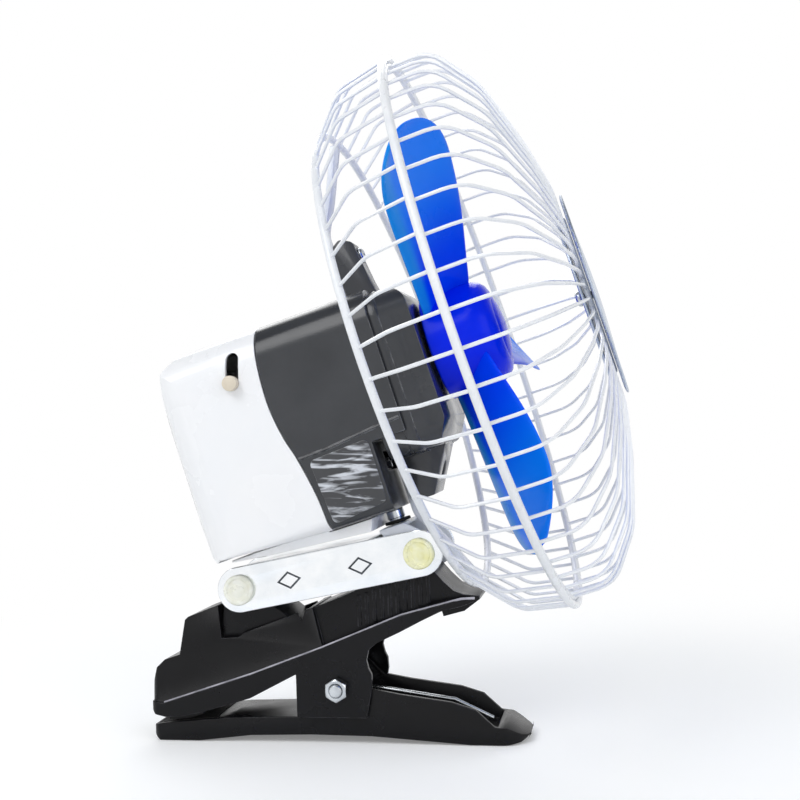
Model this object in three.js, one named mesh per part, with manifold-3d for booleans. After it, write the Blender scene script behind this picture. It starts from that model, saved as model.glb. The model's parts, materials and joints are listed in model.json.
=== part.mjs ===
// Clip fan: a spring clamp, a link arm and a tilting, oscillating fan head.
// Millimetres, +Z up, the fan faces +X. The origin is the middle of the footprint, on the ground.
import * as THREE from 'three';
import { mergeVertices } from 'three/addons/utils/BufferGeometryUtils.js';
import Module from 'manifold-3d';

const wasm = await Module();
wasm.setup();

// ---------------------------------------------------------------- driving dimensions
const gap = 0.3;                    // clearance between pieces that touch
const boltClearance = 0.3;          // radial clearance of a bolt in its hole
const runClearance = 0.15;          // radial clearance of a turning shaft

// clamp, measured from the nose (x = 0) along the ground
const jawLength = 148;              // nose to the lip of the lower handle
const jawWidth = 29;                // lower jaw across its walls
const jawWall = 2;
const noseRound = 3;                // plan radii of the nose and the heel
const heelRound = 11;
const jawArch = 3;                  // rise of the underside between nose and heel
const pivotX = 76;
const pivotZ = 21.3;
const pivotBoltRadius = 2.5;
const pivotNutFlats = 8;
const pivotNutHeight = 4;
const pivotEarRadius = 8;
const cheekThickness = 1.8;
const padThickness = 1.5;
const padLength = 22;
const handleHalfWidth = 12.6;
const handleEnd = 131;              // nose to the lip of the upper handle
const turretHalfWidth = 15;
const gripRibCount = 10;
const gripRibPitch = 3;
const gripRibDepth = 0.4;
const springWire = 1.6;
const springRadius = 5;
const springCurls = 6;

// link arm
const armBoltX = 38;                // lower arm bolt
const armBoltZ = 59.1;
const armLength = 72.4;             // bolt to bolt
const armAngle = 10.5;              // degrees above the horizontal
const armEndRadius = 8.8;
const armSheet = 1.2;
const armWebStart = 4;
const armWebEnd = armLength - 18.4; // the web stops short of the head's bracket
const armBoltRadius = 2.5;
const armBoltHeadRadius = 5.9;
const armBoltHeadHeight = 1.8;
const armNutFlats = 8;
const armNutHeight = 4;
const embossWidth = 11.4;
const embossHeight = 7.6;
const embossRise = 0.5;
const embossDrop = -0.9;
const knuckleRadius = 7.2;

// head: axial distances from the rim's plane (forward +), heights from the fan's axis
const headTilt = 16.7;              // degrees
const rimRadius = 108.5;
const rimWire = 1.45;               // tube radius of the rim
const frontRimWire = 1.2;
const guardWire = 0.65;
const wireCount = 54;
const rearCornerRadius = 105;
const rearCornerAxial = -18.5;
const rearRingRadius = 90.6;
const rearRingAxial = -32.3;
const rearRingWire = 1.5;
const frontDepth = 41;
const frontRingRadius = 30;
const frontRingWire = 1.2;
const badgeRadius = 39;
const badgeSheet = 1.2;
const strapWidth = 8;
const strapSheet = 2;
const strapAxial = -48.2;           // middle of the strap's thickness
const strapScrewHeight = 45;
const screwRadius = 1.5;
const screwHeadRadius = 3;
const screwHeadHeight = 2;

const spindleAxial = -56.7;
const spindleRadius = 3.5;
const spindleNeckRadius = 3;
const washerRadius = 5.2;
const bracketSheet = 1.4;
const bracketTop = -59.3;
const bracketEarRadius = 8.5;
const tiltBoltAxial = -49.4;
const tiltBoltHeight = -72;

const housingHalfWidth = 30;
const housingTop = 29;
const housingBottom = -53.5;
const housingWall = 2;
const housingRear = -127.3;
const topCorner = 14;
const bottomCorner = 5;
const jointWidth = gap;             // line between the white and the dark shell
const lowerFront = -50.3;           // front wall of the lower half of the dark housing
const upperFront = -37;             // front edge of its upper half
const stepHeight = -27;             // height of that step
const motorFront = -22;
const motorTop = 26.7;
const motorBottom = -36;
const motorRear = -46.9;
const motorCorner = 9;
const armTip = 53;                  // reach of the motor bracket's arms above and below the axis
const armBarHalfWidth = 5.5;

const shaftRadius = 2.5;
const shaftRear = -106;
const shaftFront = 3;
const bushRadius = 5;
const rotorRadius = 13.4;
const statorBore = 14;
const stackRear = -44.5;
const stackFront = -28;
const frameRear = -85.4;            // gearbox frame's plate
const frameSheet = 2.6;
const wheelAxial = -96;
const wheelTeeth = 24;
const wheelRadius = 10.6;
const wormRadius = 3.9;
const wormCore = 3.3;
const wormLength = 14;
const wormTurns = 4;
const crankThrow = 4.5;
const crankRadius = 8;
const leverThrow = 9;               // spindle lever's pin from the spindle
const linkWidth = 5.2;
const linkSheet = 1.5;

const bladeCount = 3;
const bladeRadius = 89;
const bladeSheet = 1.5;
const bladeCamber = -1.2;
const bladeStart = -38;             // turn of the first blade from upright, in degrees
const hubRadius = 20.5;
const hubRear = -20.4;
const hubFront = 8;
const hubWall = 2;
const hubBossRadius = 6.4;
const hubBushRadius = 4.2;

const glandRadius = 4;
const glandY = 14;
const glandHeight = -20;
const coverScrewY = housingHalfWidth - 13;
const coverScrewZ = -38;
const coverScrewSeat = -120;        // where the cover screws' heads bear

const slotLength = 14;
const slotWidth = 5;
const slotAxial = -93;
const slotHeight = 15;
const leverAxial = slotAxial - ((slotLength - slotWidth) / 2) * Math.sin((headTilt * Math.PI) / 180);
const leverHeight = slotHeight - ((slotLength - slotWidth) / 2) * Math.cos((headTilt * Math.PI) / 180);
const switchAxial = -104;
const switchLength = 12;
const switchWidth = 8;

// ---------------------------------------------------------------- helpers
const rad = THREE.MathUtils.degToRad;

function solid(geometry) {
  const plain = geometry.clone();
  plain.deleteAttribute('normal');
  plain.deleteAttribute('uv');
  const merged = mergeVertices(plain, 1e-5);
  return new wasm.Manifold(new wasm.Mesh({
    numProp: 3,
    vertProperties: new Float32Array(merged.attributes.position.array),
    triVerts: new Uint32Array(merged.index.array),
  }));
}

function join(first, ...others) {
  return others.reduce((whole, piece) => whole.add(piece), first);
}

function cut(first, ...others) {
  return others.reduce((whole, piece) => whole.subtract(piece), first);
}

function toGeometry(manifold) {
  const mesh = manifold.getMesh();
  const geometry = new THREE.BufferGeometry();
  geometry.setAttribute('position', new THREE.BufferAttribute(mesh.vertProperties.slice(), 3));
  geometry.setIndex(new THREE.BufferAttribute(mesh.triVerts.slice(), 1));
  return geometry;
}

function outline(points) {
  return new THREE.Shape(points.map(([a, b]) => new THREE.Vector2(a, b)));
}

// a side-view outline (x, z) pushed across from y0 to y1
function across(shape, y0, y1, curveSegments = 5) {
  const geometry = new THREE.ExtrudeGeometry(shape, { depth: y1 - y0, bevelEnabled: false, curveSegments });
  return solid(geometry.rotateX(Math.PI / 2).translate(0, y1, 0));
}

// a front-view outline (y, z) pushed along X from x0 to x1
function along(shape, x0, x1, curveSegments = 4) {
  const geometry = new THREE.ExtrudeGeometry(shape, { depth: x1 - x0, bevelEnabled: false, curveSegments });
  return solid(geometry.rotateZ(Math.PI / 2).rotateY(Math.PI / 2).translate(x0, 0, 0));
}

// a plan outline (x, y) pushed up from z0 to z1
function upward(shape, z0, z1, curveSegments = 5) {
  const geometry = new THREE.ExtrudeGeometry(shape, { depth: z1 - z0, bevelEnabled: false, curveSegments });
  return solid(geometry.translate(0, 0, z0));
}

function box(x0, x1, y0, y1, z0, z1) {
  const geometry = new THREE.BoxGeometry(x1 - x0, y1 - y0, z1 - z0);
  return solid(geometry.translate((x0 + x1) / 2, (y0 + y1) / 2, (z0 + z1) / 2));
}

function rodY(radius, y0, y1, x, z, sides = 16) {
  const geometry = new THREE.CylinderGeometry(radius, radius, y1 - y0, sides);
  return solid(geometry.translate(x, (y0 + y1) / 2, z));
}

function rodX(radius, x0, x1, y = 0, z = 0, sides = 16) {
  const geometry = new THREE.CylinderGeometry(radius, radius, x1 - x0, sides);
  return solid(geometry.rotateZ(-Math.PI / 2).translate((x0 + x1) / 2, y, z));
}

function rodZ(radius, z0, z1, x = 0, y = 0, sides = 16) {
  const geometry = new THREE.CylinderGeometry(radius, radius, z1 - z0, sides);
  return solid(geometry.rotateX(Math.PI / 2).translate(x, y, (z0 + z1) / 2));
}

// a hexagon's corner radius for its width across flats
const hexRadius = (flats) => flats / 2 / Math.cos(Math.PI / 6);

// a bar outline with round ends between two points
function stadium(ax, az, bx, bz, radius) {
  const angle = Math.atan2(bz - az, bx - ax);
  const shape = new THREE.Shape();
  shape.absarc(ax, az, radius, angle + Math.PI / 2, angle + Math.PI * 1.5, false);
  shape.absarc(bx, bz, radius, angle - Math.PI / 2, angle + Math.PI / 2, false);
  return shape;
}

function roundedRectangle(x0, x1, y0, y1, lower, upper) {
  const shape = new THREE.Shape();
  shape.absarc(x0 + lower, y0 + lower, lower, Math.PI, Math.PI * 1.5, false);
  shape.absarc(x1 - lower, y0 + lower, lower, -Math.PI / 2, 0, false);
  shape.absarc(x1 - upper, y1 - upper, upper, 0, Math.PI / 2, false);
  shape.absarc(x0 + upper, y1 - upper, upper, Math.PI / 2, Math.PI, false);
  return shape;
}

// a profile of (radius, axial) points turned about the X axis
function lathe(profile, sides = 40) {
  const points = profile.map(([radius, axial]) => new THREE.Vector2(radius, axial));
  return solid(new THREE.LatheGeometry(points, sides).rotateZ(-Math.PI / 2));
}

// straight runs from corner to corner, with one step of the extrusion for each run
class CornerPath extends THREE.Curve {
  constructor(points) {
    super();
    this.corners = points.map((point) => new THREE.Vector3(...point));
  }

  getPoint(t, target = new THREE.Vector3()) {
    const place = THREE.MathUtils.clamp(t, 0, 1) * (this.corners.length - 1);
    const run = Math.min(Math.floor(place), this.corners.length - 2);
    return target.lerpVectors(this.corners[run], this.corners[run + 1], place - run);
  }

  getUtoTmapping(u) {
    return u;
  }
}

// a wire bent at the given points, with a section of a few sides
function wire(points, radius, sides) {
  const section = outline(Array.from({ length: sides }, (_, i) => {
    const turn = ((i + 0.5) / sides) * Math.PI * 2;
    return [radius * Math.cos(turn), radius * Math.sin(turn)];
  }));
  const path = new CornerPath(points);
  return solid(new THREE.ExtrudeGeometry(section, {
    steps: points.length - 1, extrudePath: path, bevelEnabled: false,
  }));
}

// a round bar bent to a ring about the fan's axis
function ring(radius, tube, axial, segments = wireCount, sides = 5) {
  const geometry = new THREE.TorusGeometry(radius, tube, sides, segments);
  return solid(geometry.rotateY(Math.PI / 2).translate(axial, 0, 0));
}

const colours = {
  black: new THREE.MeshStandardMaterial({ color: 0x1b1c1f, roughness: 0.45, metalness: 0 }),
  rubber: new THREE.MeshStandardMaterial({ color: 0x111213, roughness: 0.85, metalness: 0 }),
  chrome: new THREE.MeshStandardMaterial({ color: 0xe4e8ea, roughness: 0.15, metalness: 1 }),
  steel: new THREE.MeshStandardMaterial({ color: 0xc4c8ca, roughness: 0.35, metalness: 1 }),
  zinc: new THREE.MeshStandardMaterial({ color: 0xe9e3a0, roughness: 0.35, metalness: 0.8 }),
  white: new THREE.MeshStandardMaterial({ color: 0xf3f5f7, roughness: 0.35, metalness: 0 }),
  whiteWire: new THREE.MeshStandardMaterial({ color: 0xe9edf2, roughness: 0.4, metalness: 0.1 }),
  slate: new THREE.MeshStandardMaterial({ color: 0x46484c, roughness: 0.25, metalness: 0.05 }),
  blue: new THREE.MeshStandardMaterial({ color: 0x1238e0, roughness: 0.2, metalness: 0 }),
  red: new THREE.MeshStandardMaterial({ color: 0xc22a30, roughness: 0.4, metalness: 0 }),
  cream: new THREE.MeshStandardMaterial({ color: 0xefe8d2, roughness: 0.5, metalness: 0 }),
  copper: new THREE.MeshStandardMaterial({ color: 0xb4602c, roughness: 0.5, metalness: 0.6 }),
  brass: new THREE.MeshStandardMaterial({ color: 0xc9a45a, roughness: 0.4, metalness: 0.9 }),
  silver: new THREE.MeshStandardMaterial({ color: 0xb9c6d6, roughness: 0.3, metalness: 0.7 }),
};

function place(group, name, shape, material) {
  const mesh = new THREE.Mesh(toGeometry(shape), material);
  mesh.name = name;
  group.add(mesh);
}

// ---------------------------------------------------------------- clamp
const cheekInner = jawWidth / 2 + gap;
const cheekOuter = cheekInner + cheekThickness;
const nutFace = cheekOuter + gap;

const troughFloor = (x) => jawArch + 2.2 - (x - pivotX + 4) * 0.042;
const handleRoof = (x) => 51.6 + (x - pivotX + 4) * 0.37;

// plan of a jaw and its handle, rounded at the nose and at the heel
function jawPlan(end, half) {
  const shape = new THREE.Shape();
  shape.absarc(noseRound, noseRound - half, noseRound, Math.PI, Math.PI * 1.5, false);
  shape.absarc(end - heelRound, heelRound - half, heelRound, -Math.PI / 2, 0, false);
  shape.absarc(end - heelRound, half - heelRound, heelRound, 0, Math.PI / 2, false);
  shape.absarc(noseRound, half - noseRound, noseRound, Math.PI / 2, Math.PI, false);
  return shape;
}

function lowerJaw() {
  const half = jawWidth / 2;
  const body = outline([
    [0.3, 2], [2.5, 0], [19, 0], [40, jawArch * 0.8], [64, jawArch], [88, jawArch * 0.9],
    [114, 0.8], [126, 0], [jawLength - 8, 0], [jawLength - 3.5, 0.7], [jawLength, 2.6],
    [jawLength - 3, 3.6], [jawLength - 8.4, 6.4], [jawLength - 13, 6.8],
    [jawLength - 20, 13.2], [jawLength - 29, 16], [99, 18.8], [pivotX + 12, 20.8],
    [pivotX + 6.5, pivotZ + 5], [pivotX + 3.5, pivotZ + 7.2], [pivotX, pivotZ + pivotEarRadius],
    [pivotX - 3.5, pivotZ + 7.2], [pivotX - 6.5, pivotZ + 5], [pivotX - 13, 10],
    [32, 9.2], [3, 6.6], [0.3, 6],
  ]);
  const trough = outline([
    [pivotX - 11, 7], [pivotX - 4, troughFloor(pivotX - 4)], [120, troughFloor(120)], [jawLength - 14, 3.2],
    [jawLength - 12, 6], [jawLength - 12, 50], [pivotX - 11, 50],
  ]);
  const padSeat = outline([[1.6, 6], [3.4, 6.6 - padThickness], [3.4 + padLength, 8.7 - padThickness],
    [3.4 + padLength, 12], [1.6, 12]]);
  return cut(across(body, -half, half).intersect(upward(jawPlan(jawLength, half), -5, 60)),
    across(trough, -half + jawWall, half - jawWall),
    across(padSeat, -half + jawWall, half - jawWall),
    rodY(pivotBoltRadius + boltClearance, -half - 1, half + 1, pivotX, pivotZ));
}

function jawPad(sign) {
  const half = jawWidth / 2 - jawWall - gap;
  const low = outline([[3.4 + gap, 6.65 - padThickness + gap],
    [3.4 + padLength - gap, 8.7 - padThickness + gap], [3.4 + padLength - gap, 8.7], [3.4 + gap, 6.75]]);
  const high = outline([[6, 7.4 + gap], [14, 7.9 + gap], [20, 9.7 + gap], [20, 9.7 + gap + padThickness],
    [14, 7.9 + gap + padThickness], [6, 7.4 + gap + padThickness]]);
  return across(sign < 0 ? low : high, -half, half);
}

// the turret is open between its walls for the arm's knuckle
const pocketRear = 29.5;
const pocketFloor = (x) => 32 + (x - pocketRear) * 0.174;

// the bright ledge that runs the length of the upper jaw
const ledge = [[5.6, 15.1], [41.6, 26.4], [69.8, 36.6], [101.3, 49], [124.5, 55]];

function upperJaw() {
  const upper = outline([
    [0.3, 15.5], [1, 23.8], [2.4, 28.6], [5.8, 31.7], [12.1, 33.7], [14.7, 47.2], [16, 48.4],
    [28.5, 53], [29.5, 40], [36.6, 40.5], [38.7, 42.1], [60.6, 49.8], [62, 46.6], [63.6, 50.9],
    [66.5, 51.8], [70.1, 36], [40, 25], [6, 14.5],
  ]);
  const handle = outline([
    [62, 34], [66, 51.2], [79.6, 56.4], [87.6, 59.9], [103, 66], [109, 67.2], [112.5, 66.6],
    [117, 61.4], [121, 57.6], [125, 56.2], [handleEnd, 55.6], [handleEnd, 54.4], [125, 50], [101.3, 44],
    [69.8, 34],
  ]);
  const skirt = outline([
    [0.3, 12.2], [0.3, 15.6], ...ledge, [handleEnd, 55], [handleEnd - 0.5, 54], [125.5, 52.4],
    [116.5, 50.4], [108.8, 46.8], [100.9, 42.8], [91.5, 38.5], [88.3, 35.8], [87.4, 32.1], [88.1, 29],
    [89.2, 26.8], [89.4, 22.6],
    [pivotX + 11, pivotZ - 11.2], [pivotX - 16.5, pivotZ - 11.2], [pivotX - 16.5, 26.5],
    [40.9, 17.2], [20.4, 11.4], [12, 9.8], [5.9, 9.6], [1.6, 10.6],
  ]);
  const skirtHollow = outline([
    [pivotX - 14.5, 4], [pivotX - 14.5, 31], [69.8, 34.2], [101.3, 46.6], [116, 51.6], [119, 40], [93, 4],
  ]);
  const handleHollow = outline([
    [pivotX - 4, 20], [pivotX - 4, handleRoof(pivotX - 4)], [103, handleRoof(103)], [109, 64.7],
    [111.5, 64.2], [116, 58.8], [118, 56.6], [118, 20],
  ]);
  const padSeat = outline([[5.6, 3], [5.6, 9.4 + gap], [14, 9.7 + gap * 1.4], [20.4, 11.6 + gap],
    [20.4, 3]]);
  const pocket = outline([[pocketRear, pocketFloor(pocketRear)], [pocketRear, 60], [64, 60],
    [64, pocketFloor(64)]]);
  let jaw = join(
    across(upper, -turretHalfWidth, turretHalfWidth)
      .intersect(upward(jawPlan(handleEnd, turretHalfWidth), 0, 90)),
    across(handle, -handleHalfWidth, handleHalfWidth),
    across(skirt, -cheekOuter, cheekOuter).intersect(upward(jawPlan(handleEnd, cheekOuter), 0, 90)));
  const ribs = Array.from({ length: gripRibCount }, (_, i) => {
    const x = 98 + (i - gripRibCount / 2) * gripRibPitch + gripRibPitch / 2;
    const foot = 44 + (x - 84) * 0.33;
    const rib = outline([[x - 0.7, foot], [x + 0.7, foot], [x + 0.7, foot + 12], [x - 0.7, foot + 12]]);
    return across(rib, -handleHalfWidth - gripRibDepth, handleHalfWidth + gripRibDepth);
  });
  jaw = join(jaw, ...ribs);
  return cut(jaw,
    across(skirtHollow, -cheekInner, cheekInner),
    across(handleHollow, -handleHalfWidth + jawWall, handleHalfWidth - jawWall),
    across(padSeat, -jawWidth / 2 + jawWall, jawWidth / 2 - jawWall),
    across(pocket, -turretHalfWidth + jawWall, turretHalfWidth - jawWall),
    rodY(pivotBoltRadius + boltClearance, -cheekOuter - 1, cheekOuter + 1, pivotX, pivotZ));
}

function armKnuckle() {
  const half = turretHalfWidth - jawWall - gap;
  const reach = armFace - gap;
  const lug = new THREE.Shape();
  lug.absarc(armBoltX, armBoltZ, knuckleRadius, -0.35, Math.PI + 0.1, false);
  lug.lineTo(pocketRear + gap, 50);
  lug.lineTo(pocketRear + gap, pocketFloor(pocketRear) + gap * 1.5);
  lug.lineTo(60, pocketFloor(60) + gap * 1.5);
  lug.lineTo(60, 45);
  return cut(join(across(lug, -half, half), rodY(knuckleRadius - 1, -reach, reach, armBoltX, armBoltZ)),
    rodY(armBoltRadius + boltClearance, -reach - 1, reach + 1, armBoltX, armBoltZ));
}

function pivotBolt() {
  return join(
    rodY(pivotBoltRadius, -nutFace - pivotNutHeight - 0.8, nutFace + 0.4, pivotX, pivotZ),
    rodY(hexRadius(pivotNutFlats), nutFace, nutFace + pivotNutHeight - 0.5, pivotX, pivotZ, 6));
}

function pivotNut() {
  return cut(rodY(hexRadius(pivotNutFlats), -nutFace - pivotNutHeight, -nutFace, pivotX, pivotZ, 6),
    rodY(pivotBoltRadius + runClearance, -nutFace - pivotNutHeight - 1, -nutFace + 1, pivotX, pivotZ));
}

// the spring's curls lie round the pivot bolt; one leg presses each handle
function clampSpring() {
  const pitch = springWire + 0.6;
  const points = [];
  const turnSteps = 8;
  const total = springCurls * turnSteps;
  const halfLength = (springCurls * pitch) / 2;
  const rest = springWire / 2 + gap;
  points.push([pivotX + 27, -halfLength - 0.4, troughFloor(pivotX + 27) + rest + 0.1]);
  points.push([pivotX + 8, -halfLength - 0.2, pivotZ - springRadius - 0.4]);
  for (let i = 0; i <= total; i += 1) {
    const turn = -Math.PI / 2 - 0.1 - (i / turnSteps) * Math.PI * 2 - (i / total) * 2.5;
    points.push([pivotX + springRadius * Math.cos(turn), -halfLength + (i / total) * springCurls * pitch,
      pivotZ + springRadius * Math.sin(turn)]);
  }
  points.push([pivotX + 11, halfLength + 0.2, pivotZ + 16]);
  points.push([pivotX + 23, halfLength + 0.3, handleRoof(pivotX + 23) - rest * 1.5]);
  let least = Infinity;
  for (let i = 2; i < points.length - 2; i += 1) {
    for (let j = i + 6; j < points.length - 2; j += 1) {
      least = Math.min(least, new THREE.Vector3(...points[i]).distanceTo(new THREE.Vector3(...points[j])));
    }
  }
  console.log('clamp spring: least gap between curls', (least - springWire).toFixed(2), 'mm');
  return wire(points, springWire / 2, 5);
}

// ---------------------------------------------------------------- link arm
const armFace = turretHalfWidth + gap;           // inner face of each arm plate
const armOuter = armFace + armSheet;

function linkArm() {
  const plate = stadium(0, 0, armLength, 0, armEndRadius);
  const diamond = (x) => outline([[x - embossWidth / 2, embossDrop], [x, embossDrop - embossHeight / 2],
    [x + embossWidth / 2, embossDrop], [x, embossDrop + embossHeight / 2]]);
  const parts = [];
  for (const side of [-1, 1]) {
    const inner = side * armFace;
    const outer = side * armOuter;
    parts.push(across(plate, Math.min(inner, outer), Math.max(inner, outer), 12));
    for (const share of [0.31, 0.7]) {
      const face = outer + side * embossRise;
      parts.push(across(diamond(armLength * share), Math.min(inner, face), Math.max(inner, face)));
    }
  }
  parts.push(box(armWebStart, armWebEnd, -armOuter, armOuter, armEndRadius - armSheet, armEndRadius));
  const holes = [0, armLength].map((x) =>
    rodY(armBoltRadius + boltClearance, -armOuter - 2, armOuter + 2, x, 0));
  return cut(join(...parts), ...holes);
}

function armBolt(x) {
  return join(
    rodY(armBoltRadius, -armOuter - gap - 0.6, armOuter + gap + armNutHeight + 0.8, x, 0),
    rodY(armBoltHeadRadius, -armOuter - gap - armBoltHeadHeight, -armOuter - gap, x, 0, 32));
}

function armNut(x) {
  const face = armOuter + gap;
  return cut(rodY(hexRadius(armNutFlats), face, face + armNutHeight, x, 0, 6),
    rodY(armBoltRadius + runClearance, face - 1, face + armNutHeight + 1, x, 0));
}

// ---------------------------------------------------------------- neck
const bracketOuter = armFace - gap;
const bracketInner = bracketOuter - bracketSheet;

function headBracket() {
  const ear = new THREE.Shape();
  ear.moveTo(spindleAxial - 5, bracketTop);
  ear.lineTo(tiltBoltAxial - bracketEarRadius, tiltBoltHeight);
  ear.absarc(tiltBoltAxial, tiltBoltHeight, bracketEarRadius, Math.PI, Math.PI * 2.15, false);
  ear.lineTo(spindleAxial + 5, bracketTop);
  const low = bracketTop - bracketSheet;
  return cut(join(
    across(ear, -bracketOuter, -bracketInner, 12),
    across(ear, bracketInner, bracketOuter, 12),
    box(spindleAxial - 5, spindleAxial + 5, -bracketOuter, bracketOuter, low, bracketTop)),
  rodZ(spindleNeckRadius + runClearance, low - 1, bracketTop + 1, spindleAxial, 0),
  rodY(armBoltRadius + boltClearance, -bracketOuter - 1, bracketOuter + 1, tiltBoltAxial, tiltBoltHeight));
}

const leverLow = housingBottom + 15.8;           // underside of the spindle lever
const leverSheet = 2.5;

function spindle() {
  return join(
    rodZ(spindleRadius, bracketTop + gap, housingBottom - gap, spindleAxial, 0),
    rodZ(spindleNeckRadius, bracketTop - bracketSheet - 5, leverLow + leverSheet + 1, spindleAxial, 0));
}

function spindleWasher() {
  return cut(rodZ(washerRadius, bracketTop + gap, bracketTop + gap + 1.2, spindleAxial, 0),
    rodZ(spindleRadius + runClearance, bracketTop, bracketTop + 3, spindleAxial, 0));
}

function spindleNut() {
  const top = bracketTop - bracketSheet - gap;
  return cut(rodZ(hexRadius(8), top - 3.2, top, spindleAxial, 0, 6),
    rodZ(spindleNeckRadius + runClearance, top - 5, top + 1, spindleAxial, 0));
}

function spindleLever() {
  const arm = stadium(spindleAxial, 0, spindleAxial, leverThrow, 3);
  const hub = rodZ(spindleNeckRadius + 2, leverLow, leverLow + leverSheet, spindleAxial, 0);
  const pin = rodZ(1.4, leverLow + 0.5, leverLow + leverSheet + gap + linkSheet + 0.4, spindleAxial,
    leverThrow);
  return cut(join(upward(arm, leverLow, leverLow + leverSheet), hub, pin),
    rodZ(spindleNeckRadius + runClearance, leverLow - 1, leverLow + leverSheet + 2, spindleAxial, 0));
}

// ---------------------------------------------------------------- motor housing
const jointLine = [[-81.2, housingTop + 2], [-82.3, 20.2], [-83.7, -3.4], [-79.4, -24.6],
  [-76.6, -40.2], [-75.8, housingBottom]];
const section = () => roundedRectangle(-housingHalfWidth, housingHalfWidth, housingBottom, housingTop,
  bottomCorner, topCorner);
const innerSection = () => roundedRectangle(-housingHalfWidth + housingWall, housingHalfWidth - housingWall,
  housingBottom + housingWall, housingTop - housingWall, bottomCorner - housingWall, topCorner - housingWall);

function rearCover() {
  const side = outline([...jointLine, [-122, housingBottom], [-124.6, -49.5], [-127, -20],
    [housingRear, -5], [-124.2, 16], [-121.8, 23.6], [-116, 28.2], [-108, housingTop + 2]]);
  const plan = roundedRectangle(housingRear, -60, -housingHalfWidth, housingHalfWidth, 14, 14);
  const hollow = outline([[-70, 40], [-70, -60], [-119.6, -60], [-122.4, -49], [-124.8, -20],
    [housingRear + 2.2, -5], [-122, 15.6], [-119.8, 22.2], [-115, 26], [-108, 40]]);
  const planHollow = roundedRectangle(housingRear + housingWall, -50, -housingHalfWidth + housingWall,
    housingHalfWidth - housingWall, 12, 12);
  const outside = across(side, -40, 40).intersect(along(section(), -140, -50))
    .intersect(upward(plan, -80, 60));
  const inside = across(hollow, -40, 40).intersect(along(innerSection(), -140, -50))
    .intersect(upward(planHollow, -80, 60));
  const tray = outline([[-118, housingBottom + 1], [-118, housingBottom + 0.2], [-100, -55.4],
    [-62.5, -58.5], [-60.5, housingBottom - gap], [-78, housingBottom - gap], [-78, housingBottom + 1]]);
  const slot = stadium(leverAxial, leverHeight, slotAxial * 2 - leverAxial, slotHeight * 2 - leverHeight,
    slotWidth / 2);
  const bosses = [-1, 1].map((sign) => rodX(screwHeadRadius + 1.8, -126, coverScrewSeat + 6,
    sign * coverScrewY, coverScrewZ).intersect(outside));
  return cut(join(cut(outside, inside), across(tray, -24, 24), ...bosses),
    across(slot, -housingHalfWidth - 2, -housingHalfWidth + housingWall + 2),
    box(switchAxial - switchLength / 2, switchAxial + switchLength / 2, -switchWidth / 2, switchWidth / 2,
      housingBottom - 8, housingBottom + 4),
    rodX(glandRadius + gap, housingRear - 5, housingRear + 8, glandY, glandHeight),
    ...[-1, 1].map((sign) => join(
      rodX(screwRadius + boltClearance, -130, -110, sign * coverScrewY, coverScrewZ),
      rodX(screwHeadRadius + gap, -130, coverScrewSeat, sign * coverScrewY, coverScrewZ))));
}

function frontHousing() {
  const back = jointLine.map(([x, z]) => [x + jointWidth, z]);
  const side = outline([...back, [lowerFront, housingBottom], [lowerFront, stepHeight],
    [upperFront, stepHeight], [upperFront, housingTop + 2]]);
  const hollow = outline([[-95, 60], [-95, -70], [lowerFront - housingWall, -70],
    [lowerFront - housingWall, stepHeight + 2], [-30, stepHeight + 2], [-30, 60]]);
  const outside = across(side, -40, 40).intersect(along(section(), -95, -30));
  const inside = across(hollow, -40, 40).intersect(along(innerSection(), -96, -29));
  const boss = rodZ(6, housingBottom, leverLow - gap, spindleAxial, 0);
  return cut(join(cut(outside, inside), boss),
    rodZ(spindleNeckRadius + runClearance, housingBottom - 1, leverLow + 1, spindleAxial, 0),
    box(-50, upperFront + 1, -armBarHalfWidth - gap, armBarHalfWidth + gap, 15, 40),
    box(-50, upperFront + 1, -housingHalfWidth + housingWall - 0.2, housingHalfWidth - housingWall + 0.2,
      stepHeight - 1, stepHeight + 3),
    box(lowerFront - 3, lowerFront + 1, -16, 16, leverLow - 1, leverLow + leverSheet + 4),
    rodX(bushRadius + 2, lowerFront - 3, lowerFront + 1, 0, 0));
}

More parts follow.
